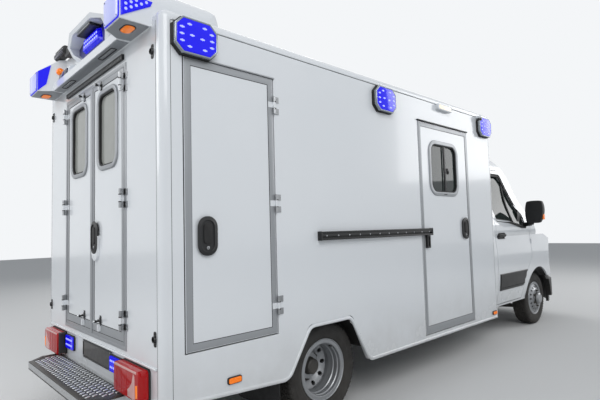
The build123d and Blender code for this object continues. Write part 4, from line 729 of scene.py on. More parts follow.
def makeCatch(name, y, z, body, onLeaf):
    if not onLeaf:
        # The wall's half: a flat foot and a shallow ring that takes the ball when the door stands open
        foot = plate(
            "rear", [roundedOutline((y, z), 0.030, 0.084, 0.010, 5)], rearOut - 0.001, rearOut + 0.0035, 0.0012, 2,
        )
        ring = turned(
            [
                (0, 0.0135), (0, 0.0190), (-0.0095, 0.0182), (-0.0115, 0.0168), (-0.0115, 0.0148), (-0.0100, 0.0135),
                (0, 0.0135),
            ],
            (-rearOut - 0.003, y, z), "x", 28,
        )
        pins = [
            turned(
                [(0, 0.0001), (0, 0.0056), (-0.0040, 0.0050), (-0.0055, 0.0001)], (-rearOut - 0.003, y, z + up), "x",
                12,
            )
            for up in (0.032, -0.032)
        ]
        dress(joined([foot, ring] + pins), "catch" + name, "grainedAbs", body)
        return
    base = plate("rear", [roundedOutline((y, z), 0.026, 0.070, 0.008, 5)], rearOut - 0.001, rearOut + 0.006, 0.002, 2)
    post = turned(
        [
            (0, 0.012), (-0.004, 0.012), (-0.008, 0.0075), (-0.026, 0.0065), (-0.029, 0.010), (-0.036, 0.010),
            (-0.039, 0.006), (-0.039, 0.0001),
        ],
        (-rearOut - 0.004, y, z), "x", 20,
    )
    arm = plate("rear", [roundedOutline((y, z), 0.052, 0.016, 0.006, 5)], rearOut + 0.004, rearOut + 0.015, 0.003, 2)
    dress(joined([base, post, arm]), "catch" + name, "grainedAbs", body)
    ball = turned(
        [(0, 0.0001), (0, 0.0088), (-0.006, 0.0088), (-0.010, 0.0058), (-0.011, 0.0001)], (-rearOut - 0.0425, y, z),
        "x", 20,
    )
    screws = [
        turned([(0, 0.0001), (0, 0.0044), (-0.0016, 0.0038), (-0.002, 0.0001)], (-rearOut - 0.006, y, z + up), "x", 12)
        for up in (0.026, -0.026)
    ]
    dress(joined([ball] + screws), "catch" + name + "Ball", "chromePlate", body)


for row in catchRows:
    makeCatch(*row)

# Hinge dressing: the black plastic bush between the knuckles and countersunk screws in the plates
hingeHeights = {"rear": (2.355, 1.615, 0.860), "locker": (2.235, 1.568, 0.894)}


def makeHingeTrim():
    for sign, side in bothSides:
        bushes, screws = [], []
        for z in hingeHeights["rear"]:
            y = sign * 0.571
            for up in (0.0235, -0.0235):
                bushes.append(turned(
                    [(-0.0026, 0.0094), (-0.0026, 0.0104), (0.0026, 0.0104), (0.0026, 0.0094)],
                    (-rearOut - 0.030, y, z + up), "z", 24,
                ))
            for up in (0.040, -0.040):
                screws.append(turned(
                    [(0, 0.0046), (-0.0014, 0.0042), (-0.0014, 0.0018), (-0.0004, 0.0001)],
                    (-rearOut - 0.0050, y + sign * 0.030, z + up), "x", 14,
                ))
        dress(joined(bushes), "rearHingeBushes" + side, "sealRubber")
        dress(joined(screws), "rearHingeScrews" + side, "satinSteel")
        bushes, screws = [], []
        for z in hingeHeights["locker"]:
            x, y = -2.372, sign * (wallY + 0.012)
            for up in (0.0235, -0.0235):
                bushes.append(turned(
                    [(-0.0026, 0.0094), (-0.0026, 0.0104), (0.0026, 0.0104), (0.0026, 0.0094)], (x, y, z + up), "z", 24,
                ))
            for up in (0.040, -0.040):
                screw = turned([(0, 0.0046), (0.0014, 0.0042), (0.0014, 0.0018), (0.0004, 0.0001)], (0, 0, 0), "y", 14)
                screws.append(onSide(screw, x + 0.030, wallY + 0.0050, z + up, sign))
        dress(joined(bushes), "lockerHingeBushes" + side, "sealRubber")
        dress(joined(screws), "lockerHingeScrews" + side, "satinSteel")


makeHingeTrim()
print("catches and hinge trim made")

# Tail lamps: a moulded case, the lens in three colours, a bright inner reflector line
tailLamp = dict(low=0.560, high=0.920, foot=0.463, head=0.627, out=3.245)


def makeTailLamp(sign, side):
    row = tailLamp
    low, high, foot, head, out = (row[k] for k in ("low", "high", "foot", "head", "out"))
    middle = (sign * (low + high) / 2, (foot + head) / 2)

    def outline(points):
        # Corners are given for the left lamp; the right one is its mirror image
        return [(sign * y, z) for y, z in points][::sign]

    gasket = plate(
        "rear", [roundedOutline(middle, high - low + 0.010, head - foot + 0.010, 0.020, 6)], rearOut - 0.001,
        rearOut + 0.012, 0.003, 2,
    )
    dress(gasket, "tailLampGasket" + side, "sealRubber")
    cheek = plate(
        "rear",
        [outline([
            (low - 0.003, foot + 0.006), (low + 0.018, foot + 0.002), (low + 0.018, head + 0.003),
            (low - 0.003, head - 0.004),
        ])],
        rearOut + 0.004, out + 0.006, 0.004, 2,
    )
    dress(cheek, "tailLampCheek" + side, "grainedAbs")
    lens = plate(
        "rear",
        [outline([
            (low + 0.010, foot + 0.014), (low + 0.022, foot - 0.002), (high - 0.026, foot - 0.002),
            (high + 0.002, foot + 0.022), (high + 0.002, head - 0.020), (high - 0.022, head + 0.002),
            (low + 0.020, head + 0.002), (low + 0.010, head - 0.008),
        ])],
        rearOut + 0.008, out + 0.016, 0.009, 4,
    )
    dress(lens, "tailLampLens" + side, "redPolycarbonate")
    lip = plate(
        "rear",
        [outline([
            (low + 0.020, head - 0.013), (high - 0.026, head - 0.013), (high - 0.034, head - 0.001),
            (low + 0.026, head - 0.001),
        ])],
        out + 0.012, out + 0.0178, 0.0022, 2,
    )
    dress(lip, "tailLampLip" + side, "pinkPolycarbonate")
    clear = plate(
        "rear",
        [outline([
            (0.778, foot + 0.012), (0.852, foot + 0.006), (0.878, foot + 0.014), (0.872, head - 0.030),
            (0.856, head - 0.016), (0.838, foot + 0.098), (0.806, foot + 0.066), (0.780, foot + 0.050),
        ])],
        out + 0.012, out + 0.0182, 0.0022, 2,
    )
    dress(clear, "tailLampReverse" + side, "pinkPolycarbonate")
    amber = plate(
        "rear", [outline([(0.884, foot + 0.018), (0.908, foot + 0.026), (0.908, foot + 0.096), (0.880, foot + 0.088)])],
        out + 0.010, out + 0.0182, 0.003, 2,
    )
    dress(amber, "tailLampIndicator" + side, "amberPolycarbonate")
    ribs = [
        plate(
            "rear",
            [outline([(y, foot + 0.012), (y + 0.0022, foot + 0.012), (y + 0.0022, head - 0.018), (y, head - 0.018)])],
            out + 0.014, out + 0.0172, 0.0006, 1,
        )
        for y in (0.622, 0.690, 0.758)
    ]
    dress(joined(ribs), "tailLampRibs" + side, "redPolycarbonate")


for sign, side in bothSides:
    makeTailLamp(sign, side)

# Blue lamps beside the plate: black gasket and a ring of small reflector dots under the cover
for sign, side in bothSides:
    middle = (sign * 0.452, 0.567)
    gasket = plate(
        "rear", [roundedOutline(middle, 0.184, 0.109, 0.017, 5), roundedOutline(middle, 0.168, 0.093, 0.011, 5)],
        rearOut - 0.001, rearOut + 0.012, 0.003, 2,
    )
    dress(gasket, "valanceLampGasket" + side, "sealRubber")
    dots = []
    for column in range(6):
        for line in range(2):
            dots.append(turned(
                [(0, 0.0001), (0, 0.0075), (-0.0022, 0.0062), (-0.0032, 0.0001)],
                (-rearOut - 0.0200, middle[0] - 0.0625 + column * 0.025, middle[1] - 0.020 + line * 0.040), "x", 14,
            ))
    dress(joined(dots), "valanceLampDots" + side, "ledLens")

# Blank black plate in its holder, held by four domed screws
plateFrame = plate(
    "rear",
    [roundedOutline((-0.106, 0.575), 0.532, 0.124, 0.008, 4), roundedOutline((-0.106, 0.575), 0.508, 0.102, 0.005, 4)],
    rearOut + 0.006, rearOut + 0.013, 0.002, 2,
)
dress(plateFrame, "plateHolder", "grainedAbs")
plateFace = plate(
    "rear", [roundedOutline((-0.106, 0.575), 0.512, 0.106, 0.004, 4)], rearOut + 0.0075, rearOut + 0.0095, 0.0005, 1,
)
dress(plateFace, "plateBlank", "plateBlack")
screws = [
    turned(
        [(0, 0.0001), (0, 0.0060), (-0.0020, 0.0048), (-0.0028, 0.0001)], (-rearOut - 0.0120, -0.106 + a, 0.575 + b),
        "x", 14,
    )
    for a in (-0.256, 0.256)
    for b in (-0.052, 0.052)
]
dress(joined(screws), "plateScrews", "satinSteel")

# Light channel over the doors: black extrusion with ribs across it
channel = plate(
    "rear", [boxOutline(-0.566, 0.566, 2.506, 2.540), boxOutline(-0.556, 0.556, 2.513, 2.531)], rearOut - 0.001,
    rearOut + 0.018, 0.0025, 2,
)
dress(channel, "doorLightChannel", "grainedAbs")
ribs = [
    plate(
        "rear", [boxOutline(-0.552 + n * 0.023, -0.552 + n * 0.023 + 0.010, 2.512, 2.532)], rearOut + 0.012,
        rearOut + 0.0165, 0.0015, 1,
    )
    for n in range(48)
]
dress(joined(ribs), "doorLightRibs", "grainedAbs")
print("rear lamps and plate made")

# Rear step: black frame with an alloy edge beam, and the tread's raised bars in slanting rows
stepPlan = dict(half=0.690, back=-3.212, knee=-3.340, front=-3.455, cut=0.110, top=0.445, bars=27, rows=5, lean=24)


def stepOutline(inset):
    half, back, knee, front, cut = (stepPlan[k] for k in ("half", "back", "knee", "front", "cut"))
    return [
        (back - inset * 0.2, -half + inset), (back - inset * 0.2, half - inset), (knee, half - inset),
        (front + inset, half - cut - inset * 0.4), (front + inset, -half + cut + inset * 0.4), (knee, -half + inset),
    ]


def makeStep(row):
    top = row["top"]
    frameRing = plate("roof", [stepOutline(0.0005), stepOutline(0.044)], top - 0.052, top + 0.004, 0.004, 3)
    dress(frameRing, "stepFrame", "grainedAbs")
    beam = plate(
        "roof",
        [[
            (row["front"] + 0.0008, -row["half"] + row["cut"]), (row["front"] + 0.0008, row["half"] - row["cut"]),
            (row["front"] + 0.030, row["half"] - row["cut"]), (row["front"] + 0.030, -row["half"] + row["cut"]),
        ]],
        top - 0.010, top + 0.008, 0.004, 3,
    )
    dress(beam, "stepEdgeBeam", "powderBlack")
    bar = plate("roof", [roundedOutline((0, 0), 0.036, 0.0150, 0.0072, 6)], 0, 0.0060, 0.0028, 3)
    turn = math.radians(row["lean"])
    bars = []
    for line in range(row["rows"]):
        for column in range(row["bars"]):
            y = -0.595 + column * 1.19 / (row["bars"] - 1)
            x = -3.242 - line * 0.040
            if abs(y) > 0.555 and line > 2:
                continue
            twin = copyOf(bar)
            for vertex in twin.data.vertices:
                a, b = vertex.co.x, vertex.co.y
                vertex.co.x = x + a * math.cos(turn) - b * math.sin(turn)
                vertex.co.y = y + a * math.sin(turn) + b * math.cos(turn)
                vertex.co.z += top - 0.0005
            bars.append(twin)
    bpy.data.objects.remove(bar)
    # The bars are worn bright and carry a painted highlight on their lit tops
    dress(joined(bars), "stepTreadBars", "wornAndLitTread")
    # The sheet between the bars is painted shade of the gaps
    sheet = plate("roof", [stepOutline(0.043)], top - 0.001, top + 0.0009, 0.0003, 1)
    dress(sheet, "stepTreadSheet", "paintedShadeTread")
    bolts = [boltHead((x, y, top - 0.052), "z", -1, 0.0075, 0.005) for x in (-3.30, -3.24) for y in (-0.363, 0.363)]
    dress(joined(bolts), "stepBolts", "satinSteel")


makeStep(stepPlan)
print("step made")

# Octagonal blue lamps on both sides: rubber gasket, bright bezel, domed cover and twelve lit dots
sideLamp = dict(
    width=0.280, height=0.212, cut=0.050, proud=0.045,
    dots=(
        (-0.050, 0.066), (0.050, 0.066), (-0.098, 0.040), (0.098, 0.040), (-0.100, 0.0), (-0.034, 0.004),
        (0.034, -0.004), (0.100, 0.0), (-0.098, -0.040), (0.098, -0.040), (-0.050, -0.066), (0.050, -0.066),
    ),
)
sideLampPlaces = ((-2.982, 2.524), (-1.136, 2.488), (0.760, 2.502))


def octagon(middle, width, height, cut):
    a, b = width / 2, height / 2
    x, z = middle
    return [(x - a + cut, z - b), (x + a - cut, z - b), (x + a, z - b + cut), (x + a, z + b - cut),
            (x + a - cut, z + b), (x - a + cut, z + b), (x - a, z + b - cut), (x - a, z - b + cut)]


def makeSideLamp(wall, side, number, middle, row):
    width, height, cut, out = row["width"], row["height"], row["cut"], wallY + row["proud"]
    name = "sideLamp%s%d" % (side, number)
    gasket = plate(
        wall,
        [
            octagon(middle, width + 0.016, height + 0.016, cut + 0.004),
            octagon(middle, width - 0.006, height - 0.006, cut - 0.001),
        ],
        wallY - 0.001, out - 0.022, 0.004, 2,
    )
    dress(gasket, name + "Gasket", "sealRubber")
    bezel = plate(
        wall,
        [
            octagon(middle, width + 0.004, height + 0.004, cut),
            octagon(middle, width - 0.020, height - 0.020, cut - 0.006),
        ],
        out - 0.024, out + 0.003, 0.005, 3,
    )
    dress(bezel, name + "Bezel", "satinBezel")
    cover = plate(
        wall, [octagon(middle, width - 0.020, height - 0.020, cut - 0.006)], out - 0.004, out + 0.0035, 0.0035, 3,
    )
    dress(cover, name + "Cover", "bluePolycarbonate")
    dots = []
    for across, up in row["dots"]:
        # Each lamp element: a short bright bar lying across a round bowl
        x, z = middle[0] + across, middle[1] + up
        dots.append(plate(
            wall, [roundedOutline((x, z), 0.030, 0.009, 0.0044, 4)], out + 0.002, out + 0.0058, 0.0015, 2,
        ))
        dots.append(plate(
            wall, [roundedOutline((x, z), 0.014, 0.015, 0.0068, 4)], out + 0.002, out + 0.0062, 0.0015, 2,
        ))
    dress(joined(dots), name + "Dots", "ledLens")
    screws = [
        plate(
            wall, [roundedOutline((middle[0] + a, middle[1]), 0.008, 0.008, 0.0039, 4)], out + 0.002, out + 0.0045,
            0.001, 1,
        )
        for a in (-width / 2 + 0.005, width / 2 - 0.005)
    ]
    dress(joined(screws), name + "Screws", "satinSteel")


for wall, sign in walls:
    side = wall.title()
    for number, middle in enumerate(sideLampPlaces):
        makeSideLamp(wall, side, number, middle, sideLamp)
    # Scene light under the roof seam, in its white surround
    middle = (-0.120, 2.582)
    surround = plate(
        wall, [roundedOutline(middle, 0.272, 0.062, 0.020, 6), roundedOutline(middle, 0.232, 0.034, 0.012, 6)],
        wallY - 0.001, wallY + 0.040, 0.006, 3,
    )
    dress(surround, "sceneLight%sSurround" % side, "gelcoatWhite")
    glow = plate(wall, [roundedOutline(middle, 0.236, 0.038, 0.013, 6)], wallY + 0.030, wallY + 0.0385, 0.003, 2)
    dress(glow, "sceneLight%sLens" % side, "creamLens")
    # Amber markers near the skirt, in rubber frames
    for number, spot in enumerate(((-2.731, 0.500), (0.830, 0.392))):
        ring = plate(
            wall, [roundedOutline(spot, 0.102, 0.042, 0.012, 5), roundedOutline(spot, 0.086, 0.028, 0.008, 5)],
            wallY - 0.001, wallY + 0.012, 0.003, 2,
        )
        dress(ring, "marker%s%dFrame" % (side, number), "sealRubber")
        rib = joined([
            plate(
                wall, [roundedOutline((spot[0] + a, spot[1]), 0.008, 0.022, 0.003, 3)], wallY + 0.012, wallY + 0.0162,
                0.0015, 1,
            )
            for a in (-0.028, -0.014, 0, 0.014, 0.028)
        ])
        dress(rib, "marker%s%dRibs" % (side, number), "amberPolycarbonate")
    # Seam under the roof cap, the lip above it and the dark joints beside the corner posts
    seam = plate(wall, [boxOutline(-3.128, 0.895, 2.6052, 2.6086)], wallY - 0.001, wallY + 0.0006, 0.0002, 1)
    joints = [
        plate(wall, [boxOutline(x - 0.0014, x + 0.0014, foot, 2.606)], wallY - 0.001, wallY + 0.0005, 0.0002, 1)
        for x, foot in ((-3.130, 0.446), (0.897, 0.332))
    ]
    rearJoint = plate(
        "rear", [boxOutline(sign * 1.0075 - 0.0014, sign * 1.0075 + 0.0014, 0.445, 2.606)], rearOut - 0.001,
        rearOut + 0.0005, 0.0002, 1,
    )
    dress(joined([seam] + joints + [rearJoint]), "panelJoints" + side, "sealRubber")
    lip = plate(wall, [boxOutline(-3.120, 0.888, 2.6100, 2.6240)], wallY - 0.002, wallY + 0.0050, 0.0030, 3)
    dress(lip, "roofLip" + side, "gelcoatWhite")

# Camera dome on the right wall near the front: a white arm with a black ball under it
arm = plate("right", [roundedOutline((0.638, 2.604), 0.058, 0.030, 0.012, 6)], wallY - 0.001, wallY + 0.060, 0.008, 3)
dress(arm, "cameraArm", "gelcoatWhite")
ball = turned(
    [(0, 0.0001), (0, 0.024), (-0.012, 0.026), (-0.024, 0.022), (-0.034, 0.013), (-0.038, 0.0001)],
    (0.638, -wallY - 0.036, 2.592), "z", 28,
)
dress(ball, "cameraBall", "privacyDome")
print("side lamps and seams made")


def softened(points, radius, steps=6):
    # Rounds every inner corner of an open line of points
    line = [Vector(points[0])]
    for before, corner, after in zip(points, points[1:], points[2:]):
        corner = Vector(corner)
        back, on = (Vector(before) - corner), (Vector(after) - corner)
        reach = min(radius, back.length * 0.45, on.length * 0.45)
        start, end = corner + back.normalized() * reach, corner + on.normalized() * reach
        for step in range(steps + 1):
            t = step / steps
            line.append(start * (1 - t) ** 2 + corner * 2 * t * (1 - t) + end * t ** 2)
    return line + [Vector(points[-1])]


def bead(points, radius, name, finish, body="root", sides=3):
    # A round bead or pipe along a line of points
    curve = bpy.data.curves.new(name, "CURVE")
    curve.dimensions = "3D"
    spline = curve.splines.new("POLY")
    spline.points.add(len(points) - 1)
    for point, place in zip(spline.points, points):
        point.co = (*place, 1)
    curve.bevel_depth = radius
    curve.bevel_resolution = sides
    curve.use_fill_caps = True
    drawn = bpy.data.objects.new(name, curve)
    bpy.context.scene.collection.objects.link(drawn)
    pickOnly(drawn)
    bpy.ops.object.convert(target="MESH")
    return dress(bpy.context.object, name, finish, body)


# Thick rounded edging along the skirt and round the wheel opening
skirtLine = ((-3.126, 0.454), (-2.285, 0.398), (-2.076, 0.708), (-1.636, 0.708), (-1.424, 0.350), (0.893, 0.340))
for wall, sign in walls:
    line = [Vector((x, sign * (wallY - 0.0085), z)) for x, z in skirtLine]
    bead(softened(line, 0.050, 8), 0.0145, "skirtEdging" + wall.title(), "gelcoatWhite", sides=5)

for sign, side in bothSides:
    turnLine = [Vector((-3.1905, sign * 1.0085, 0.4720))]
    for step in range(9):
        angle = math.radians(90 * step / 8)
        turnLine.append(Vector((-3.1305 - 0.0600 * math.cos(angle), sign * (1.0075 + 0.0600 * math.sin(angle)), 0.4720)))
    turnLine += [
        Vector((-3.1100, sign * 1.0680, 0.4700)), Vector((-3.0950, sign * 1.0680, 0.4560)),
        Vector((-3.0880, sign * 1.0680, 0.4420)),
    ]
    bead(turnLine, 0.0048, "postBead" + side, "gelcoatWhite")

# Rear hood dressing
hoodUnder = 2.585
podMiddle = 0.850


def makeHoodUnderside():
    # The grey plates under the hood and the pods are painted shade of their undersides
    panel = plate(
        "under", [[(-3.272, -0.655), (-3.200, -0.655), (-3.200, 0.655), (-3.272, 0.655)]], -hoodUnder - 0.001,
        -hoodUnder + 0.004, 0.0015, 2,
    )
    dress(panel, "hoodUnderShadePanel", "paintedShadeGrey")
    for sign, side in bothSides:
        pod = plate(
            "under",
            [[
                (-3.370, sign * 0.752), (-3.282, sign * 0.682), (-3.200, sign * 0.690), (-3.200, sign * 0.948),
                (-3.370, sign * 0.948),
            ][::sign]],
            -hoodUnder - 0.001, -hoodUnder + 0.003, 0.001, 2,
        )
        dress(pod, "podUnderShadePanel" + side, "paintedShadeGrey")
        recess = plate(
            "under",
            [
                roundedOutline((-3.236, sign * 0.400), 0.040, 0.250, 0.014, 6),
                roundedOutline((-3.236, sign * 0.400), 0.028, 0.238, 0.009, 6),
            ],
            -hoodUnder, -hoodUnder + 0.008, 0.002, 2,
        )
        dress(recess, "hoodStripFrame" + side, "grainedAbs")
        strip = plate(
            "under", [roundedOutline((-3.240, sign * 0.400), 0.009, 0.222, 0.003, 4)], -hoodUnder, -hoodUnder + 0.0062,
            0.001, 1,
        )
        dress(strip, "hoodStripLight" + side, "clearPolycarbonate")
        oval = plate(
            "under", [roundedOutline((-3.285, sign * podMiddle), 0.060, 0.112, 0.029, 8)], -hoodUnder,
            -hoodUnder + 0.010, 0.0035, 3,
        )
        dress(oval, "podAmber" + side, "amberPolycarbonate")
        ring = plate(
            "under",
            [
                roundedOutline((-3.285, sign * podMiddle), 0.074, 0.126, 0.036, 8),
                roundedOutline((-3.285, sign * podMiddle), 0.058, 0.110, 0.028, 8),
            ],
            -hoodUnder, -hoodUnder + 0.006, 0.002, 2,
        )
        dress(ring, "podAmberRing" + side, "grainedAbs")


makeHoodUnderside()

for sign, side in bothSides:
    wall = "left" if sign > 0 else "right"
    rearLens = plate(
        "rear", [roundedOutline((sign * 0.851, 2.6685), 0.200, 0.150, 0.014, 6)], rearOut + 0.191, rearOut + 0.1965,
        0.0025, 3,
    )
    dress(rearLens, "podRearLens" + side, "lavenderPolycarbonate")
    screws = [
        turned(
            [(0, 0.0001), (0, 0.0052), (-0.0016, 0.0044), (-0.0018, 0.0001)], (-rearOut - 0.1960, sign * y, z), "x", 12,
        )
        for y, z in ((0.765, 2.604), (0.938, 2.604), (0.765, 2.733))
    ]
    dress(joined(screws), "podLensScrews" + side, "sealRubber")
    outerLens = plate(
        wall, [[(-3.368, 2.603), (-3.202, 2.701), (-3.192, 2.726), (-3.368, 2.726)]], 0.9645, 0.9700, 0.002, 2,
    )
    dress(outerLens, "podOuterLens" + side, "bluePolycarbonate")
    dots = [
        plate(
            wall, [roundedOutline((-3.345 + n * 0.030, 2.640 + n * 0.018 + line * 0.030), 0.017, 0.017, 0.008, 4)],
            0.9690, 0.9722, 0.001, 1,
        )
        for line in (0, 1)
        for n in range(5) if 2.640 + n * 0.018 + line * 0.030 < 2.716
    ]
    dress(joined(dots), "podOuterDots" + side, "ledLens")
    cheek = turned(
        [(0, 0.0001), (0, 0.030), (-0.008, 0.029), (-0.018, 0.022), (-0.024, 0.010), (-0.025, 0.0001)], (0, 0, 0), "x",
        28,
    )
    turnBy = math.atan2(sign * 0.808, 0.588)
    for vertex in cheek.data.vertices:
        out, b, c = -vertex.co.x, vertex.co.y, vertex.co.z
        vertex.co = Vector((
            -3.235 - out * 0.588 - sign * b * 0.808, sign * 0.6390 - sign * out * 0.808 + b * 0.588, 2.748 + c,
        ))
    faceOutward(cheek)
    dress(cheek, "podCheekAmber" + side, "amberPolycarbonate")

# Raised middle: a lining in the recess painted with its shade and the lamp's blue light, a lamp bar with its strip, LED
# rows on the faceted lamp
recessShape = [
    (-0.215, 2.733), (0.215, 2.733), (0.326, 2.802), (0.326, 2.848), (0.184, 2.892), (-0.184, 2.892), (-0.326, 2.848),
    (-0.326, 2.802),
]
# Painted shade and painted blue lamp light on the recess lining
lining = plate("rear", [recessShape], rearOut - 0.011, rearOut - 0.008, 0.0008, 1)
dress(lining, "recessLining", "shadeAndBlueLightLining")
bar = plate("rear", [boxOutline(-0.136, 0.136, 2.872, 2.889)], rearOut - 0.009, rearOut + 0.072, 0.004, 2)
dress(bar, "recessBar", "grainedAbs")
strip = plate("rear", [boxOutline(-0.130, 0.130, 2.8755, 2.8835)], rearOut + 0.070, rearOut + 0.0745, 0.0015, 2)
dress(strip, "recessStrip", "clearPolycarbonate")
dots = [
    plate(
        "rear", [roundedOutline((-0.126 + n * 0.036, 2.802 + line * 0.030), 0.022, 0.016, 0.007, 4)], rearOut + 0.014,
        rearOut + 0.0225, 0.002, 1,
    )
    for line in (0, 1)
    for n in range(8)
]
dress(joined(dots), "recessDots", "ledLens")

# Lamp box under the left work lamp, with a navy cover
boxBody = block((-3.252, 0.385, 2.642), (-3.188, 0.600, 2.752))
for vertex in boxBody.data.vertices:
    if vertex.co.z > 2.7 and vertex.co.x < -3.22:
        vertex.co.z -= 0.022
        vertex.co.x += 0.012
softenEdges(boxBody, 0.006, 3)
dress(boxBody, "shelfLampBox", "gelcoatWhite")
cover = block((-3.262, 0.398, 2.652), (-3.240, 0.588, 2.712))
for vertex in cover.data.vertices:
    if vertex.co.z > 2.68:
        vertex.co.x += 0.008
softenEdges(cover, 0.005, 3)
dress(cover, "shelfLampCover", "navyPolycarbonate")
face = plate("rear", [boxOutline(0.478, 0.694, 2.858, 2.884)], rearOut + 0.060, rearOut + 0.0765, 0.002, 2)
dress(face, "workLampFace", "navyPolycarbonate")
trim = plate("rear", [boxOutline(0.474, 0.698, 2.886, 2.890)], rearOut + 0.058, rearOut + 0.0775, 0.001, 1)
dress(trim, "workLampTrim", "chromePlate")
fins = [
    plate(
        "rear", [boxOutline(0.480 + n * 0.0165, 0.480 + n * 0.0165 + 0.007, 2.893, 2.914)], rearOut + 0.040,
        rearOut + 0.0690, 0.001, 1,
    )
    for n in range(13)
]
dress(joined(fins), "workLampFins", "grainedAbs")
print("hood made")

# Tyres: one carcass and one tread pitch are modelled, then copied to the six wheels
tyre = dict(radius=0.350, pitches=58, grooveDepth=0.0085)
treadBlocks = (
    # distance from the tyre's middle, width, lean of the block, share of the pitch that it fills
    (0, 0.0245, 0.3, 0.80), (-0.0295, 0.0235, 0.45, 0.80), (0.0295, 0.0235, -0.45, 0.80),
    (-0.0645, 0.0340, 0.15, 0.74), (0.0645, 0.0340, -0.15, 0.74),
)
tyreProfile = (
    # distance along the axle, radius: bead, ribbed sidewall, shoulder
    (-0.0735, 0.2065), (-0.0790, 0.2120), (-0.0850, 0.2280), (-0.0862, 0.2300), (-0.0895, 0.2315), (-0.0925, 0.2440),
    (-0.0958, 0.2600), (-0.0958, 0.2625), (-0.0968, 0.2640), (-0.0974, 0.2830), (-0.0966, 0.2990), (-0.0954, 0.3005),
    (-0.0952, 0.3025), (-0.0925, 0.3160), (-0.0890, 0.3270), (-0.0868, 0.3300), (-0.0800, 0.3390), (-0.0700, 0.3414),
)


def makeTyre(row):
    crown = row["radius"] - row["grooveDepth"]
    profile = list(tyreProfile) + [(0.0, crown + 0.0002)] + [
        (-along, radius)
        for along, radius in reversed(tyreProfile)
    ]
    inside = [
        (0.0735, 0.2065), (0.066, 0.2065), (0.082, 0.270), (0.066, 0.326), (0.0, 0.331), (-0.066, 0.326),
        (-0.082, 0.270), (-0.066, 0.2065), (-0.0735, 0.2065),
    ]
    carcass = turned(profile + inside[1:], (0, 0, 0), "y", 96)
    # One pitch of tread: three centre blocks and two shoulder blocks, bevelled, with a sipe line in each
    blocks = []
    turnBy = 2 * math.pi / row["pitches"]
    long = row["radius"] * turnBy
    for across, width, lean, fill in treadBlocks:
        low = crown - 0.003
        piece = block((-long * fill / 2, across - width / 2, low), (long * fill / 2, across + width / 2, row["radius"]))
        for vertex in piece.data.vertices:
            vertex.co.x += lean * (vertex.co.y - across) + (0.4 * long if abs(across) > 0.02 else 0)
            if abs(across) > 0.06 and abs(vertex.co.y) > 0.075 and vertex.co.z > row["radius"] - 0.001:
                vertex.co.z -= 0.0045
        softenEdges(piece, 0.0012, 1)
        pickFaces(piece, lambda face: face.normal.z > 0.9 and face.area > 0.00005)
        bpy.ops.mesh.inset(thickness=0.0030, depth=0)
        bpy.ops.mesh.inset(thickness=0.0005, depth=-0.0008)
        toObject()
        blocks.append(piece)
    pitch = joined(blocks)
    for vertex in pitch.data.vertices:
        # Wrap the flat pitch round the axle
        angle = vertex.co.x / row["radius"]
        vertex.co.x, vertex.co.z = vertex.co.z * math.sin(angle), vertex.co.z * math.cos(angle)
    ring = []
    for number in range(row["pitches"]):
        twin = copyOf(pitch)
        twin.data.transform(Matrix.Rotation(number * turnBy, 4, "Y"))
        ring.append(twin)
    bpy.data.objects.remove(pitch)
    shoulders = []
    for sign in (1, -1):
        lug = block((-0.0045, 0.0860, 0.3230), (0.0045, 0.0905, 0.3385))
        softenEdges(lug, 0.0010, 1)
        for number in range(row["pitches"]):
            twin = copyOf(lug, flipY=sign < 0)
            twin.data.transform(Matrix.Rotation(number * turnBy, 4, "Y"))
            shoulders.append(twin)
        bpy.data.objects.remove(lug)
    return joined([carcass] + ring + shoulders)


wheelPlaces = (
    # name, node it replaces, body, axle x, distances from the middle
    ("frontTyre", "front_tyre", "wheel_front", 2.451, (0.830,)),
    ("rearTyres", "rear_tyres", "wheels_rear", -1.874, (0.895, 0.670)),
)
masterTyre = makeTyre(tyre)
for name, node, body, axleX, halves in wheelPlaces:
    for sign, side in ((1, "left"), (-1, "right")):
        both = [copyOf(masterTyre, (axleX, sign * half, tyre["radius"])) for half in halves]
        piece = dress(joined(both), name + side.title(), "tyreRubber", body + "_" + side, smooth=30)
        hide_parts(node + "_" + side)
bpy.data.objects.remove(masterTyre)
print("tyres made")


# Wheel dressing: where each piece stands along its axle, in metres from the vehicle's middle
wheelTrim = dict(
    height=0.350, frontX=2.451, rearX=-1.874, nuts=6, nutCircle=0.1025, nutRadius=0.0125,
    frontNuts=(0.9425, 0.017), rearNuts=(0.7945, 0.018), cap=0.9430, flange=0.7950,
    frontRim=0.905, rearRim=0.970, valveCircle=0.178,
)
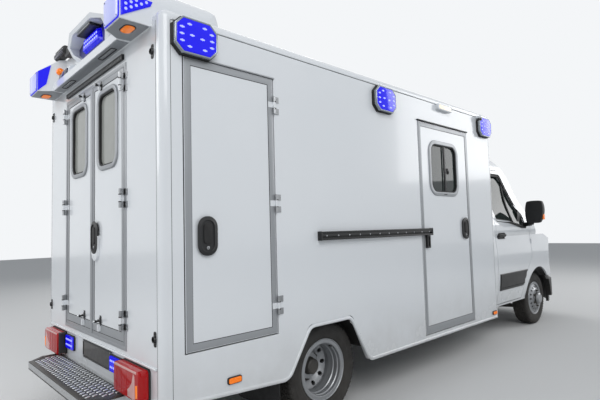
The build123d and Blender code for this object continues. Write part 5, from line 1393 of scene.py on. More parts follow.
# Turned profiles: distance along the axle, radius
trimProfiles = dict(
    washer=((0, 0.0001), (0, 0.0185), (0.0022, 0.0180), (0.0045, 0.0145), (0.0045, 0.0001)),
    stud=((0, 0.0001), (0, 0.0068), (0.006, 0.0068), (0.0074, 0.0054), (0.0074, 0.0001)),
    cap=(
        (0.000, 0.0001), (0.0, 0.0800), (0.010, 0.0815), (0.030, 0.0740), (0.042, 0.0590), (0.0470, 0.0570),
        (0.0500, 0.0500), (0.0512, 0.0300), (0.0515, 0.0001),
    ),
    flange=(
        (0.0, 0.0001), (0.0, 0.0760), (0.012, 0.0770), (0.028, 0.0680), (0.034, 0.0645), (0.077, 0.0565),
        (0.0855, 0.0460), (0.0865, 0.0001),
    ),
    steps=(
        (0.9780, 0.1938), (0.9765, 0.1890), (0.9560, 0.1872), (0.9500, 0.1815), (0.9180, 0.1800), (0.9120, 0.1745),
        (0.8800, 0.1735), (0.8720, 0.1690), (0.8420, 0.1690), (0.8360, 0.1720), (0.8340, 0.1938), (0.9780, 0.1938),
    ),
    lip=(
        (-0.0030, 0.2185), (-0.0010, 0.2225), (0.0035, 0.2240), (0.0070, 0.2215), (0.0062, 0.2180),
        (0.0020, 0.2150), (-0.0030, 0.2185),
    ),
    valve=(
        (0, 0.0001), (0, 0.0055), (0.016, 0.0042), (0.018, 0.0042), (0.030, 0.0040), (0.031, 0.0028), (0.031, 0.0001),
    ),
)


def wheelPart(kind, steps, axleX, out, sign, aside=0.0, up=0.0):
    # One turned part, set on its axle with its face outward
    part = turned(trimProfiles[kind], (0, 0, 0), "y", steps)
    return onSide(part, axleX + aside, out, wheelTrim["height"] + up, sign)


def makeStuds(name, body, axleX, face, standing, sign):
    # Wheel nuts on their cone washers, with the stud's end in each
    row = wheelTrim
    parts = []
    for count in range(row["nuts"]):
        angle = 2 * math.pi * (count + 0.5) / row["nuts"]
        aside, up = row["nutCircle"] * math.cos(angle), row["nutCircle"] * math.sin(angle)
        place = (axleX + aside, sign * (face + 0.004 + standing / 2), row["height"] + up)
        nut = softenEdges(drum(place, row["nutRadius"], standing, "y", 6), 0.0016, 2)
        parts += [
            nut, wheelPart("washer", 20, axleX, face, sign, aside, up),
            wheelPart("stud", 16, axleX, face + standing + 0.003, sign, aside, up),
        ]
    dress(joined(parts), name, "powderBlack", body)


def makeWheelTrim(sign, side):
    row, title = wheelTrim, side.title()
    front, rear = "wheel_front_" + side, "wheels_rear_" + side
    makeStuds("frontNuts" + title, front, row["frontX"], *row["frontNuts"], sign)
    dress(wheelPart("cap", 48, row["frontX"], row["cap"], sign), "frontHubCap" + title, "grainedAbs", front)
    makeStuds("rearNuts" + title, rear, row["rearX"], *row["rearNuts"], sign)
    dress(wheelPart("flange", 48, row["rearX"], row["flange"], sign), "rearHubFlange" + title, "powderBlack", rear)
    # Pressed steps inside the deep outer rim
    dress(wheelPart("steps", 72, row["rearX"], 0, sign), "rearRimSteps" + title, "wheelEnamel", rear)
    for name, axleX, body, face in (("front", row["frontX"], front, row["frontRim"]), ("rear", row["rearX"], rear, row["rearRim"])):
        # Rolled rim edge and the valve
        lip = wheelPart("lip", 72, axleX, face + 0.007, sign)
        valve = wheelPart("valve", 14, axleX, face - 0.012, sign, row["valveCircle"] * 0.5, row["valveCircle"] * 0.866)
        dress(lip, name + "RimLip" + title, "wheelEnamel", body)
        dress(valve, name + "Valve" + title, "sealRubber", body)


for sign, side in ((1, "left"), (-1, "right")):
    makeWheelTrim(sign, side)
print("wheel trim made")


def linerSheet(row, sign, name):
    # A ribbed sheet curved over the wheel: each strip is a distance from the middle and a radius
    steps = row["steps"]
    low, high = (math.radians(angle) for angle in row["arc"])
    points, faces = [], []
    for y, radius in row["strips"]:
        for step in range(steps + 1):
            angle = low + (high - low) * step / steps
            points.append((
                row["x"] + radius * math.cos(angle) * row["squeeze"], sign * y,
                wheelTrim["height"] + radius * math.sin(angle),
            ))
    for strip in range(len(row["strips"]) - 1):
        for step in range(steps):
            a = strip * (steps + 1) + step
            faces.append((a, a + 1, a + steps + 2, a + steps + 1))
    liner = applied(meshPiece(points, [], faces), "SOLIDIFY", thickness=0.003, offset=0)
    faceOutward(liner)
    dress(liner, name, "grainedAbs")


# Black liners inside the rear wheel houses, with the mud flaps behind them
archLiner = dict(
    x=-1.874, arc=(14, 166), steps=20, squeeze=0.985,
    strips=(
        (0.548, 0.406), (0.556, 0.412), (0.700, 0.412), (0.706, 0.407), (0.716, 0.407), (0.722, 0.412),
        (0.880, 0.412), (0.886, 0.407), (0.896, 0.407), (0.902, 0.412), (1.024, 0.412),
    ),
)
mudFlap = dict(y=0.790, z=0.330, width=0.470, height=0.300, corner=0.020, out=(2.335, 2.343), bolts=(-0.18, 0, 0.18))


def makeMudFlap(row, sign, side):
    y = sign * row["y"]
    outline = roundedOutline((y, row["z"]), row["width"], row["height"], row["corner"], 5)
    dress(plate("rear", [outline], *row["out"], 0.002, 2), "mudFlap" + side, "sealRubber")
    hanger = plate("rear", [boxOutline(y - 0.240, y + 0.240, 0.468, 0.492)], 2.329, 2.336, 0.001, 1)
    bolts = [boltHead((-2.336, y + a, 0.480), "x", -1, 0.007, 0.005) for a in row["bolts"]]
    dress(joined([hanger] + bolts), "mudFlapHanger" + side, "satinSteel")


for sign, side in bothSides:
    linerSheet(archLiner, sign, "archLiner" + side)
    makeMudFlap(mudFlap, sign, side)
print("arch liners made")

# Cab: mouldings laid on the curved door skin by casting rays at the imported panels
cabBack = 1.010


def treeOf(*names):
    points, faces = [], []
    for name in names:
        mesh = nodes[name].data
        start = len(points)
        points += [vertex.co.copy() for vertex in mesh.vertices]
        faces += [[start + index for index in face.vertices] for face in mesh.polygons]
    return BVHTree.FromPolygons(points, faces)


def skinAt(tree, sign, x, z):
    # How far out from the middle the panel stands at this place; beside a gap, its nearest point
    place, normal, face, distance = tree.ray_cast(Vector((x, sign * 2, z)), Vector((0, -sign, 0)))
    if place is None or abs(place.y) < 0.6:
        place = tree.find_nearest(Vector((x, sign * 0.95, z)))[0]
    return abs(place.y)


def drape(piece, tree, sign, base=1.0):
    # A flat plate made at distance base is laid onto the panel
    for vertex in piece.data.vertices:
        out = abs(vertex.co.y) - base
        vertex.co.y = sign * (skinAt(tree, sign, vertex.co.x, vertex.co.z) + out)
    return piece


def along(line, t):
    lengths = [(Vector(b) - Vector(a)).length for a, b in zip(line, line[1:])]
    left = t * sum(lengths)
    for (a, b), length in zip(zip(line, line[1:]), lengths):
        if left <= length + 1e-9:
            return Vector(a).lerp(Vector(b), left / length)
        left -= length
    return Vector(line[-1])


def sheetOn(tree, sign, low, high, columns, rows, sink, stand, edge):
    # A closed moulding on a curved panel between two lines of (x, z); its rim stands lower than its face
    points, faces = [], []
    across = [0.0, 0.03] + [i / rows for i in range(1, rows)] + [0.97, 1.0]
    lengthwise = [0.0, 0.008] + [i / columns for i in range(1, columns)] + [0.992, 1.0]
    for layer in (0, 1):
        for s, t in enumerate(lengthwise):
            for r, u in enumerate(across):
                spot = along(low, t).lerp(along(high, t), u)
                rim = s in (0, len(lengthwise) - 1) or r in (0, len(across) - 1)
                out = -sink if layer == 0 else (stand - edge if rim else stand)
                points.append((spot.x, sign * (skinAt(tree, sign, spot.x, spot.y) + out), spot.y))
    wide, long = len(across), len(lengthwise)
    half = wide * long
    for s in range(long - 1):
        for r in range(wide - 1):
            a = s * wide + r
            faces += [
                (a, a + 1, a + wide + 1, a + wide), (half + a, half + a + wide, half + a + wide + 1, half + a + 1),
            ]
    rim = [r for r in range(wide)] + [s * wide + wide - 1 for s in range(1, long)]
    rim += [(long - 1) * wide + r for r in range(wide - 2, -1, -1)] + [s * wide for s in range(long - 2, 0, -1)]
    faces += [(a, b, half + b, half + a) for a, b in zip(rim, rim[1:] + rim[:1])]
    piece = meshPiece(points, [], faces)
    faceOutward(piece)
    return piece


# Side window outline, from the cab's rear edge, and the same line pushed outward by a margin
windowOutline = [
    (cabBack + x, z)
    for x, z in (
        (0.205, 1.450), (0.205, 2.010), (0.605, 2.010), (0.712, 1.895), (0.945, 1.580), (1.002, 1.502), (1.002, 1.352),
        (0.900, 1.360), (0.560, 1.425),
    )
]


def grown(outline, margin):
    # Offsets a closed outline outward (negative: inward) by moving each side along its normal
    count = len(outline)
    area = sum(a[0] * b[1] - b[0] * a[1] for a, b in zip(outline, outline[1:] + outline[:1]))
    turn = 1 if area > 0 else -1
    sides = []
    for a, b in zip(outline, outline[1:] + outline[:1]):
        step = Vector((b[0] - a[0], b[1] - a[1])).normalized()
        normal = Vector((step.y, -step.x)) * turn
        sides.append((Vector(a) + normal * margin, step))
    corners = []
    for index in range(count):
        (p, d), (q, e) = sides[index - 1], sides[index]
        cross = d.x * e.y - d.y * e.x
        if abs(cross) < 0.02:
            corners.append(tuple(q))
            continue
        t = ((q.x - p.x) * e.y - (q.y - p.y) * e.x) / cross
        corners.append(tuple(p + d * t))
    return corners


def smoothLoop(outline, radius, step=0.03):
    # Rounds the corners of a closed outline and divides its straight sides
    points = []
    count = len(outline)
    for index in range(count):
        before, corner, after = Vector(outline[index - 1]), Vector(outline[index]), Vector(outline[(index + 1) % count])
        reach = min(radius, (before - corner).length * 0.45, (after - corner).length * 0.45)
        start = corner + (before - corner).normalized() * reach
        end = corner + (after - corner).normalized() * reach
        for number in range(6):
            t = number / 5
            points.append(start * (1 - t) ** 2 + corner * 2 * t * (1 - t) + end * t ** 2)
        gap = after - (after - corner).normalized() * min(radius, (after - corner).length * 0.45) - end
        extra = int(gap.length / step)
        for number in range(1, extra):
            points.append(end + gap * number / extra)
    return [tuple(point) for point in points]


def paneSurface(node):
    # A smooth surface fitted through the pane's outer face: distance out from x and z
    rows, outs = [], []
    tree = treeOf(node)
    sign = 1 if node.endswith("left") else -1
    for column in range(14):
        for line in range(10):
            x, z = 1.24 + column * 0.055, 1.38 + line * 0.065
            place = tree.ray_cast(Vector((x, sign * 2, z)), Vector((0, -sign, 0)))[0]
            if place is not None and abs(place.y) > 0.6:
                rows.append((1, x, z, x * x, x * z, z * z))
                outs.append(abs(place.y))
    factors = numpy.linalg.lstsq(numpy.array(rows), numpy.array(outs), rcond=None)[0]
    return lambda x, z: float(numpy.dot(factors, (1, x, z, x * x, x * z, z * z)))


def laid(piece, surface, sign, base=1.0, over=0.0):
    for vertex in piece.data.vertices:
        vertex.co.y = sign * (surface(vertex.co.x, vertex.co.z) + over + abs(vertex.co.y) - base)
    return piece


doorMoulding = dict(
    x=(1.196, 2.205), z=(0.585, 0.785), stand=0.013, edge=0.007, grooveX=(1.230, 2.175), grooveZ=(0.612, 0.622),
)
doorHandle = dict(
    x=1.300, z=1.245, cup=(0.205, 0.076, 0.034), opening=(0.150, 0.048, 0.022), bowl=(0.154, 0.052, 0.023),
    bar=(0.198, 0.034, 0.0165), feet=(1.206, 1.376), lock=(1.385, 1.212),
)
windowTrim = dict(
    outer=0.026, inner=-0.012, corner=0.040, lip=0.023, lipRadius=0.0045,
    divider=((1.705, 1.398), (1.735, 1.392), (1.700, 1.968), (1.668, 1.992)),
)
mirrorHead = dict(
    x=1.936, deep=0.116, y=1.157, half=0.111, z=1.538, tall=0.146, widest=1.2695,
    glass=(1.160, 1.545), glassSize=(0.172, 0.236, 0.034), pivot=(2.004, 1.098, 1.392),
)


def span(sign, near, far):
    # The lower and higher Y of something that reaches from near to far on one side
    return sorted((sign * near, sign * far))


def levelSheet(tree, sign, x, z, columns, rows, stand, edge):
    return sheetOn(
        tree, sign, [(x[0], z[0]), (x[1], z[0])], [(x[0], z[1]), (x[1], z[1])], columns, rows, 0.002, stand, edge,
    )


def makeMoulding(row, door, sign, title, body):
    # Broad black moulding low on the door, with a groove along its foot
    strip = levelSheet(door, sign, row["x"], row["z"], 22, 5, row["stand"], row["edge"])
    dress(strip, "doorMoulding" + title, "grainedAbs", body)
    groove = levelSheet(door, sign, row["grooveX"], row["grooveZ"], 22, 2, row["stand"] + 0.0018, 0.0010)
    dress(groove, "doorMouldingBead" + title, "sealRubber", body)


def makeHandle(row, door, wall, sign, title, body):
    # Pull handle: cup, bar and the lock
    x, z = row["x"], row["z"]

    def onDoor(outlines, low, high, edge, segments):
        return drape(plate(wall, outlines, low, high, edge, segments), door, sign)

    rim = [roundedOutline((x - 0.002, z), *row["cup"], 6), roundedOutline((x, z), *row["opening"], 6)]
    cup = onDoor(rim, 0.999, 1.009, 0.0035, 3)
    bowl = onDoor([roundedOutline((x, z), *row["bowl"], 6)], 0.9985, 1.0022, 0.001, 1)
    dress(joined([cup, bowl]), "handleCup" + title, "grainedAbs", body)
    bar = onDoor([roundedOutline((x - 0.010, z + 0.004), *row["bar"], 6)], 1.010, 1.031, 0.0080, 4)
    feet = [
        onDoor([roundedOutline((foot, z + 0.004), 0.024, 0.026, 0.010, 4)], 1.000, 1.016, 0.002, 1)
        for foot in row["feet"]
    ]
    dress(joined([bar] + feet), "handleBar" + title, "grainedAbs", body)
    lock = onDoor([roundedOutline(row["lock"], 0.018, 0.018, 0.0088, 6)], 1.008, 1.0125, 0.0012, 2)
    dress(lock, "doorLock" + title, "satinSteel", body)


def makeWindowTrim(row, door, wall, sign, title, body):
    # Black window surround, its outer rubber lip, the divider bar and the corner triangle
    loops = [smoothLoop(grown(windowOutline, row[key]), row["corner"]) for key in ("outer", "inner")]
    pane = paneSurface("cab_glass_" + wall)
    frameRing = laid(plate(wall, loops, 0.990, 1.0040, 0.0012, 1), pane, sign, over=0.0205)
    dress(frameRing, "windowSurround" + title, "sealRubber", body)
    lipLoop = smoothLoop(grown(windowOutline, row["lip"]), row["corner"])
    lipLine = [Vector((x, sign * (pane(x, z) + 0.0235), z)) for x, z in lipLoop]
    bead(lipLine + lipLine[:1], row["lipRadius"], "windowLip" + title, "sealRubber", body)
    divider = plate(wall, [row["divider"]], 1.0005, 1.0125, 0.003, 2)
    divided(divider, 4)
    dress(laid(divider, pane, sign), "windowDivider" + title, "sealRubber", body)
    corner = sheetOn(
        door, sign, [(1.858, 1.352), (2.030, 1.350)], [(1.955, 1.580), (2.030, 1.520)], 6, 6, 0.001, 0.0100, 0.004,
    )
    dress(corner, "mirrorPlinth" + title, "grainedAbs", body)


def mirrorShell(row, sign):
    # Tapered shell with a domed front, narrowing a little toward the foot
    x0, y0, z0, deep, half, tall = (row[key] for key in ("x", "y", "z", "deep", "half", "tall"))
    low, high = span(sign, y0 - half, y0 + half)
    shell = block((x0, low, z0 - tall), (x0 + deep, high, z0 + tall))
    divided(shell, 6)
    for vertex in shell.data.vertices:
        x, y, z = vertex.co
        across, up, depth = (abs(y) - y0) / half, (z - z0) / tall, (x - x0) / deep
        fall = (0.62 * depth) * (abs(across) ** 2.4 * 0.55 + abs(up) ** 2.6 * 0.50)
        narrow = 1 - 0.10 * max(0, -up) - 0.05 * up * up
        rounding = 1 - 0.10 * abs(up) ** 4
        out = abs(y0 + half * across * narrow * rounding + 0.008 * up)
        vertex.co = Vector((
            x0 + deep * (depth - fall), sign * min(row["widest"], out), z0 + tall * up * (1 - 0.08 * abs(across) ** 4),
        ))
    softenEdges(shell, 0.012, 3, 40)
    return applied(shell, "SUBSURF", levels=1)


def makeMirror(row, wall, sign, title, body):
    low, high = span(sign, 0.992, 1.090)
    arm = block((1.965, low, 1.349), (2.075, high, 1.400))
    for vertex in arm.data.vertices:
        if abs(vertex.co.y) < 1.0:
            vertex.co.x += 0.030
            vertex.co.z += 0.004 if vertex.co.z > 1.37 else 0
        else:
            vertex.co.z += 0.010
            vertex.co.x += -0.018 if vertex.co.x > 2.0 else 0.0
    softenEdges(arm, 0.012, 3)
    x, y, z = row["pivot"]
    pivot = softenEdges(drum((x, sign * y, z), 0.030, 0.040, "z", 32), 0.006, 2)
    head = dress(joined([mirrorShell(row, sign), arm, pivot]), "mirror" + title, "grainedAbs", body, smooth=60)
    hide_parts("mirror_" + wall)
    # Silvered face in a dark rim, and the amber repeater
    middleY, middleZ = sign * row["glass"][0], row["glass"][1]
    outline = roundedOutline((middleY, middleZ), *row["glassSize"], 7)

    def shrunk(wide, high):
        return [(middleY + (a - middleY) * wide, middleZ + (b - middleZ) * high) for a, b in outline]

    dress(
        plate("rear", [outline, shrunk(0.92, 0.94)], -1.945, -1.9355, 0.002, 2), "mirrorRim" + title, "sealRubber",
        body,
    )
    # The mirror face's colour is a painted reflection of an overcast yard
    dress(plate("rear", [shrunk(0.93, 0.95)], -1.944, -1.9375, 0.0008, 1), "mirrorFace" + title, "silveredGlass", body)
    repeater = plate(wall, [roundedOutline((1.985, 1.470), 0.046, 0.070, 0.014, 5)], 1.252, 1.2665, 0.004, 3)
    dress(repeater, "mirrorRepeater" + title, "amberPolycarbonate", body)


for wall, sign in walls:
    body, title = "cab_leaf_" + wall, wall.title()
    door = treeOf("cab_door_" + wall)
    makeMoulding(doorMoulding, door, sign, title, body)
    makeHandle(doorHandle, door, wall, sign, title, body)
    makeWindowTrim(windowTrim, door, wall, sign, title, body)
    makeMirror(mirrorHead, wall, sign, title, body)
print("cab doors dressed")

# Black rubber gaiter closing the joint between cab and body
gaiter = dict(x=0.984, half=0.905, top=2.250, foot=0.470, radius=0.0125, folds=(-0.012, 0.010))


def makeGaiter(row):
    rightHalf = [(-0.860, row["foot"]), (-row["half"], 1.30), (-0.700, row["top"])]
    outline = rightHalf + [(-y, z) for y, z in reversed(rightHalf)]
    line = softened([Vector((row["x"], y, z)) for y, z in outline], 0.30, 12)
    for number, shift in enumerate(row["folds"]):
        fold = [point + Vector((shift, 0, 0)) for point in line]
        bead(fold, row["radius"], "cabGaiter%d" % number, "sealRubber", sides=5)


makeGaiter(gaiter)
print("gaiter made")

# Front seats: foam cushions in woven cloth with piped seams, on black pedestals
seat = dict(
    half=0.460, cushionX=(1.245, 1.738), cushionZ=(0.826, 0.958), cushionHalf=0.245, channels=0.130, channelDepth=0.007,
    backHalf=0.235, backHigh=0.580, headHalf=0.135, headZ=(0.605, 0.775), backX=1.322, backZ=0.955, lean=0.118,
    fill=0.85,
)


def crowned(low, high, divisions, swell):
    # A closed pad: a subdivided block whose sides pull in at the corners and whose faces swell between them
    pad = block(low, high)
    divided(pad, divisions)
    middle = [(low[i] + high[i]) / 2 for i in range(3)]
    half = [(high[i] - low[i]) / 2 for i in range(3)]
    for vertex in pad.data.vertices:
        unit = [(vertex.co[i] - middle[i]) / half[i] for i in range(3)]
        for i in range(3):
            a, b = unit[(i + 1) % 3], unit[(i + 2) % 3]
            full = 1 - swell[i] * (abs(a) ** 2.2 + abs(b) ** 2.2) / 2
            vertex.co[i] = middle[i] + half[i] * unit[i] * full
    return applied(pad, "SUBSURF", levels=1)


def channelled(pad, lines, axis, depth, width=0.010):
    # Sewn channels: points near a line sink toward the pad's middle plane
    for vertex in pad.data.vertices:
        for value in lines:
            gap = abs(vertex.co[axis] - value)
            if gap < width:
                vertex.co.z -= depth * (1 - gap / width) if vertex.normal.z > 0.3 else 0


def makeSeat(row, sign, side):
    middle = sign * row["half"]
    (x0, x1), (z0, z1), wide = row["cushionX"], row["cushionZ"], row["cushionHalf"]
    cushion = crowned((x0, middle - wide, z0), (x1, middle + wide, z1), 9, (0.05, 0.06, 0.16))
    channelled(cushion, (middle - row["channels"], middle + row["channels"]), 1, row["channelDepth"])
    for vertex in cushion.data.vertices:
        if vertex.co.x > 1.62:
            vertex.co.z -= (vertex.co.x - 1.62) * 0.16
        if abs(vertex.co.y - middle) > 0.14 and vertex.co.z > 0.90:
            vertex.co.z += 0.004
    wide = row["backHalf"]
    back = crowned((-0.055, middle - wide, 0.0), (0.055, middle + wide, row["backHigh"]), 9, (0.24, 0.08, 0.05))
    (z0, z1), wide = row["headZ"], row["headHalf"]
    head = crowned((-0.045, middle - wide, z0), (0.045, middle + wide, z1), 6, (0.16, 0.14, 0.14))
    for part in (back, head):
        for vertex in part.data.vertices:
            # The backrest leans back a little and narrows to the shoulders
            height = vertex.co.z
            if height < 0.6:
                vertex.co.y = middle + (vertex.co.y - middle) * (1 - 0.16 * max(0, height - 0.30) / 0.28)
                if vertex.co.x > 0 and abs(vertex.co.y - middle) > 0.13:
                    vertex.co.x += 0.012
            vertex.co.x += row["backX"] - height * row["lean"]
            vertex.co.z = height + row["backZ"]
    for pad, label in ((cushion, "Cushion"), (back, "Backrest"), (head, "Headrest")):
        piece = dress(pad, "seat" + label + side, "seatCloth", smooth=60)
        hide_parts("cab_seats")
    posts = [drum((1.243, middle + shift, 1.545), 0.006, 0.090, "z", 16) for shift in (-0.060, 0.060)]
    dress(joined(posts), "headrestPosts" + side, "satinSteel")


def makePedestal(row, sign, side):
    middle = sign * row["half"]
    box = block((1.305, middle - 0.180, 0.690), (1.650, middle + 0.180, 0.800))
    softenEdges(box, 0.010, 3)
    rails = [
        block((1.270, middle + shift - 0.016, 0.800), (1.690, middle + shift + 0.016, 0.832))
        for shift in (-0.170, 0.170)
    ]
    for rail in rails:
        softenEdges(rail, 0.004, 2)
    lever = drum((1.700, middle, 0.815), 0.007, 0.300, "y", 16)
    hinge = [drum((1.288, middle + shift, 0.905), 0.034, 0.014, "y", 28) for shift in (-0.246, 0.246)]
    for disc in hinge:
        softenEdges(disc, 0.003, 2)
    dress(joined([box] + rails + [lever] + hinge), "seatPedestal" + side, "grainedPolypropylene")


for sign, side in bothSides:
    makePedestal(seat, sign, side)
    makeSeat(seat, sign, side)
print("seats made")

# Dashboard: instrument hood, centre stack with vents, and the door of the glovebox
dashboard = dict(
    hoodY=0.460, dialY=(0.385, 0.535), dialZ=1.120, dialSize=(0.086, 0.086, 0.042),
    vents=(-0.780, -0.100, 0.100, 0.800), ventZ=1.098, ventBars=4, ventStep=0.011,
)


def makeDashboard(row):
    hood = plate(
        "rear", [roundedOutline((row["hoodY"], row["dialZ"]), 0.330, 0.110, 0.040, 7)], -1.905, -1.868, 0.010, 3,
    )
    dress(hood, "instrumentHood", "grainedPolypropylene")
    dials = [
        plate("rear", [roundedOutline((y, row["dialZ"]), *row["dialSize"], 8)], -1.870, -1.8655, 0.0015, 2)
        for y in row["dialY"]
    ]
    dress(joined(dials), "instrumentDials", "plateBlack")
    stack = plate("rear", [roundedOutline((0.0, 1.020), 0.290, 0.250, 0.030, 6)], -1.900, -1.858, 0.008, 3)
    dress(stack, "centreStack", "grainedPolypropylene")
    bars = []
    for y in row["vents"]:
        spot = (y, row["ventZ"])
        outlines = [roundedOutline(spot, 0.130, 0.062, 0.016, 5), roundedOutline(spot, 0.112, 0.044, 0.010, 5)]
        bars.append(plate("rear", outlines, -1.895, -1.852, 0.002, 2))
        for number in range(row["ventBars"]):
            foot = row["ventZ"] - 0.017 + number * row["ventStep"]
            bars.append(plate(
                "rear", [boxOutline(y - 0.056, y + 0.056, foot, foot + 0.003)], -1.895, -1.856, 0.0008, 1,
            ))
    dress(joined(bars), "airVents", "grainedAbs")
    lid = plate("rear", [roundedOutline((-0.450, 0.965), 0.420, 0.130, 0.020, 5)], -1.852, -1.838, 0.004, 2)
    dress(lid, "gloveboxLid", "grainedPolypropylene")


makeDashboard(dashboard)
print("dashboard made")

# Nose: headlamp insides, grille trim, fog lamps and wipers
lampTree = treeOf("headlamps")
bumperTree = treeOf("front_bumper")
screenTree = treeOf("windscreen")


def noseAt(tree, y, z):
    place = tree.ray_cast(Vector((5.0, y, z)), Vector((-1, 0, 0)))[0]
    if place is None:
        place = tree.find_nearest(Vector((3.4, y, z)))[0]
    return place.x


def onNose(tree, points, out):
    return [Vector((noseAt(tree, y, z) + out, y, z)) for y, z in points]


def lineOf(a, b, count):
    return [(a[0] + (b[0] - a[0]) * t / count, a[1] + (b[1] - a[1]) * t / count) for t in range(count + 1)]


def placed(part, x, y, z):
    # Moves a turned part from the origin and lets its face look forward
    for vertex in part.data.vertices:
        vertex.co += Vector((x, y, z))
    return part


headlamp = dict(
    # y, z and radius of each bowl, then how far behind the cover it lies
    bowls=((0.600, 0.800, 0.056), (0.735, 0.812, 0.050)), behind=0.040,
    dayLamp=(0.530, 0.880, 0.918), seal=((0.511, 0.700, 0.928), (0.540, 0.900, 0.930)),
)
fogLamp = dict(y=0.700, z=0.430, turn=24)
fogProfiles = dict(
    bezel=(
        (-0.030, 0.062), (0.000, 0.064), (0.006, 0.060), (0.007, 0.054), (0.000, 0.048), (-0.012, 0.046),
        (-0.030, 0.046), (-0.030, 0.062),
    ),
    glass=((-0.012, 0.0001), (-0.002, 0.020), (-0.005, 0.036), (-0.014, 0.0462), (-0.024, 0.0462), (-0.024, 0.0001)),
)


def makeHeadlamp(row, sign, side):
    for number, (y, z, r) in enumerate(row["bowls"]):
        x = noseAt(lampTree, sign * y, z) - row["behind"]
        bowl = turned([
            (-0.010, 0.0001), (-0.004, r * 0.60), (0.010, r * 0.86), (0.022, r), (0.026, r + 0.003), (0.026, r + 0.006),
            (0.018, r + 0.004), (-0.010, r * 0.66), (-0.018, 0.0001),
        ], (0, 0, 0), "x", 40)
        bulb = turned(
            [(-0.004, 0.0001), (-0.004, r * 0.34), (0.006, r * 0.33), (0.014, r * 0.22), (0.017, 0.0001)], (0, 0, 0),
            "x", 28,
        )
        dress(placed(bowl, x, sign * y, z), "headlampBowl%s%d" % (side, number), "chromePlate")
        dress(placed(bulb, x, sign * y, z), "headlampBulb%s%d" % (side, number), "clearPolycarbonate")
    near, far, z = row["dayLamp"]
    brow = onNose(lampTree, lineOf((sign * near, z), (sign * far, z), 14), -0.006)
    bead(brow, 0.0060, "dayLamp" + side, "creamLens")
    (y, low, high), (near, far, top) = row["seal"]
    rim = lineOf((y, low), (y, high), 8) + lineOf((near, top), (far, top), 12)
    bead(onNose(lampTree, [(sign * y, z) for y, z in rim], 0.0005), 0.0030, "headlampSeal" + side, "sealRubber")


def makeFogLamp(row, sign, side):
    # Fog lamp in the bumper, with its ringed bezel
    y, z = sign * row["y"], row["z"]
    x = noseAt(bumperTree, y, z)
    bezel, glass = (turned(fogProfiles[kind], (0, 0, 0), "x", 44) for kind in ("bezel", "glass"))
    for part in (bezel, glass):
        part.data.transform(Matrix.Rotation(sign * math.radians(row["turn"]), 4, "Z"))
    dress(placed(bezel, x, y, z), "fogBezel" + side, "grainedAbs")
    dress(placed(glass, x + 0.004, y, z), "fogLamp" + side, "clearPolycarbonate")


for sign, side in bothSides:
    makeHeadlamp(headlamp, sign, side)
    makeFogLamp(fogLamp, sign, side)

# Grille: a satin bead round it and a thin bead along the front of each slat; a mesh stands in the bumper
grille = dict(
    half=0.480, side=0.490, foot=0.668, head=0.920, sideFoot=0.690, sideHead=0.905, bead=0.0045,
    slats=3, slatFoot=0.741, slatStep=0.052, slatY=(0.050, 0.430), slatBead=0.0040,
)
bumperMesh = dict(bars=29, first=-0.448, step=0.032, half=0.003, z=(0.362, 0.498))


def makeGrille(row):
    grilleTree = treeOf("grille")
    half, side = row["half"], row["side"]
    outline = lineOf((-half, row["foot"]), (half, row["foot"]), 24) + lineOf(
        (side, row["sideFoot"]), (side, row["sideHead"]), 6,
    )
    outline += lineOf((half, row["head"]), (-half, row["head"]), 24) + lineOf(
        (-side, row["sideHead"]), (-side, row["sideFoot"]), 6,
    )
    bead(onNose(grilleTree, outline + outline[:1], 0.0), row["bead"], "grilleBead", "satinBezel")
    near, far = row["slatY"]
    for number in range(row["slats"]):
        z = row["slatFoot"] + number * row["slatStep"]
        for sign, side in bothSides:
            line = onNose(grilleTree, lineOf((sign * near, z), (sign * far, z), 14), 0.0)
            bead(line, row["slatBead"], "slatBead%s%d" % (side, number), "grainedAbs")


def makeBumperMesh(row):
    bars = []
    for number in range(row["bars"]):
        y = row["first"] + number * row["step"]
        x = noseAt(bumperTree, y, 0.350)
        bar = block((x - 0.050, y - row["half"], row["z"][0]), (x - 0.040, y + row["half"], row["z"][1]))
        bars.append(softenEdges(bar, 0.001, 1))
    dress(joined(bars), "bumperMesh", "grainedAbs")


makeGrille(grille)
makeBumperMesh(bumperMesh)
print("nose dressed")

# Wipers parked on the glass: pivot caps, arms that taper outward, and rubber blades
wipers = dict(reach=((0.560, -0.060), (-0.120, -0.720)), blade=0.0050, spine=0.0042, arm=0.0068)


def glassAt(y, x, out):
    place, normal = screenTree.ray_cast(Vector((x, y, 4)), Vector((0, 0, -1)))[:2]
    if place is None:
        place, normal = screenTree.find_nearest(Vector((x, y, 1.4)))[:2]
    return place + normal * out


def makeWiper(row, number, pivotY, tipY):
    bladeLine = [
        glassAt(pivotY + 0.03 + (tipY - pivotY - 0.03) * t / 10, 2.575 - 0.055 * t / 10, 0.010) for t in range(11)
    ]
    bead(bladeLine, row["blade"], "wiperBlade%d" % number, "sealRubber")
    spine = [point + Vector((0.003, 0, 0.010)) for point in bladeLine[1:-1]]
    bead(spine, row["spine"], "wiperSpine%d" % number, "grainedAbs")
    middle = (pivotY + tipY) / 2
    start = glassAt(pivotY, 2.625, 0.012)
    armLine = [
        start, start + Vector((-0.010, -0.030, 0.014)), glassAt(middle + 0.10, 2.570, 0.034),
        glassAt(middle, 2.552, 0.022),
    ]
    bead(softened(armLine, 0.08, 5), row["arm"], "wiperArm%d" % number, "grainedAbs")
    cap = turned(
        [(-0.020, 0.0001), (-0.020, 0.017), (0.010, 0.017), (0.018, 0.012), (0.020, 0.0001)], (0, 0, 0), "z", 24,
    )
    dress(placed(cap, *start), "wiperPivot%d" % number, "grainedAbs")


for number, (pivotY, tipY) in enumerate(wipers["reach"]):
    makeWiper(wipers, number, pivotY, tipY)

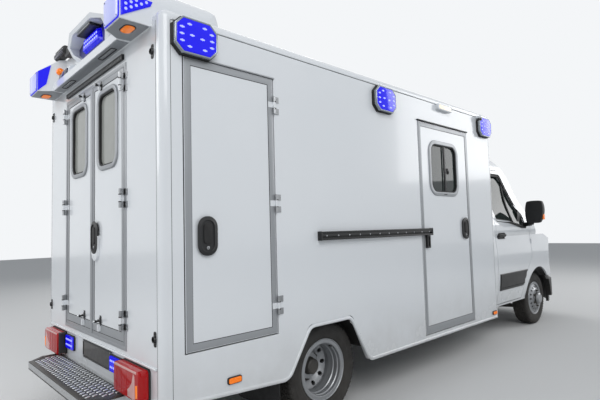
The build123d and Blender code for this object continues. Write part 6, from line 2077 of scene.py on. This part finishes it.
# Front wheel houses: black liner skin with two ribs
frontLiner = dict(
    x=2.441, arc=(42, 172), steps=26, squeeze=1.0,
    strips=(
        (0.760, 0.431), (0.800, 0.435), (0.880, 0.435), (0.886, 0.430), (0.896, 0.430), (0.902, 0.435), (0.975, 0.435),
    ),
)
for sign, side in bothSides:
    linerSheet(frontLiner, sign, "frontLiner" + side)
print("wipers and liners made")


def makeStage():
    bpy.ops.object.select_all(action="DESELECT")
    bpy.ops.mesh.primitive_plane_add(size=60, location=(0, 0, -0.002))
    floor = bpy.context.object
    floor.name = "floor"
    paint = bpy.data.materials.new("paleFloor")
    paint.use_nodes = True
    tree = paint.node_tree
    shader = tree.nodes["Principled BSDF"]
    shader.inputs["Base Color"].default_value = linear("#D9D9D8")
    shader.inputs["Roughness"].default_value = 0.9
    floor.data.materials.append(paint)

    world = bpy.context.scene.world or bpy.data.worlds.new("studio")
    bpy.context.scene.world = world
    world.use_nodes = True
    tree = world.node_tree
    tree.nodes.clear()
    rays = addNode(tree, "ShaderNodeLightPath").outputs
    seen = addNode(
        tree, "ShaderNodeMath", links={0: rays["Is Camera Ray"], 1: rays["Is Glossy Ray"]}, operation="MAXIMUM",
    ).outputs[0]
    seen = addNode(
        tree, "ShaderNodeMath", links={0: seen, 1: rays["Is Transmission Ray"]}, operation="MAXIMUM",
    ).outputs[0]
    soft = addNode(tree, "ShaderNodeBackground", {"Color": linear("#DDE4EC"), "Strength": 0.40}).outputs[0]
    white = addNode(tree, "ShaderNodeBackground", {"Color": linear("#F4F6F8"), "Strength": 1.0}).outputs[0]
    both = addNode(tree, "ShaderNodeMixShader", links={0: seen, 1: soft, 2: white}).outputs[0]
    addNode(tree, "ShaderNodeOutputWorld", links={"Surface": both})


studioLamps = (
    # place, aims at, width, power in watts
    ((-5.5, -7.5, 7.0), (-1.5, -0.5, 1.0), 6.0, 400),
    ((-9.0, 3.0, 5.0), (-3.0, 0, 1.4), 5.0, 250),
    ((4.0, 8.0, 6.5), (0.5, 0.5, 1.2), 6.0, 300),
    ((8.5, -4.5, 5.0), (2.5, -0.5, 1.0), 5.0, 210),
)


def makeLamps():
    for number, (place, aim, width, power) in enumerate(studioLamps):
        turn = (Vector(aim) - Vector(place)).to_track_quat("-Z", "Y").to_euler()
        bpy.ops.object.light_add(type="AREA", location=place, rotation=turn)
        lamp = bpy.context.object
        lamp.name = "studioLamp%d" % number
        lamp.data.size = width
        lamp.data.energy = power


makeStage()
makeLamps()
print("stage and lamps set")
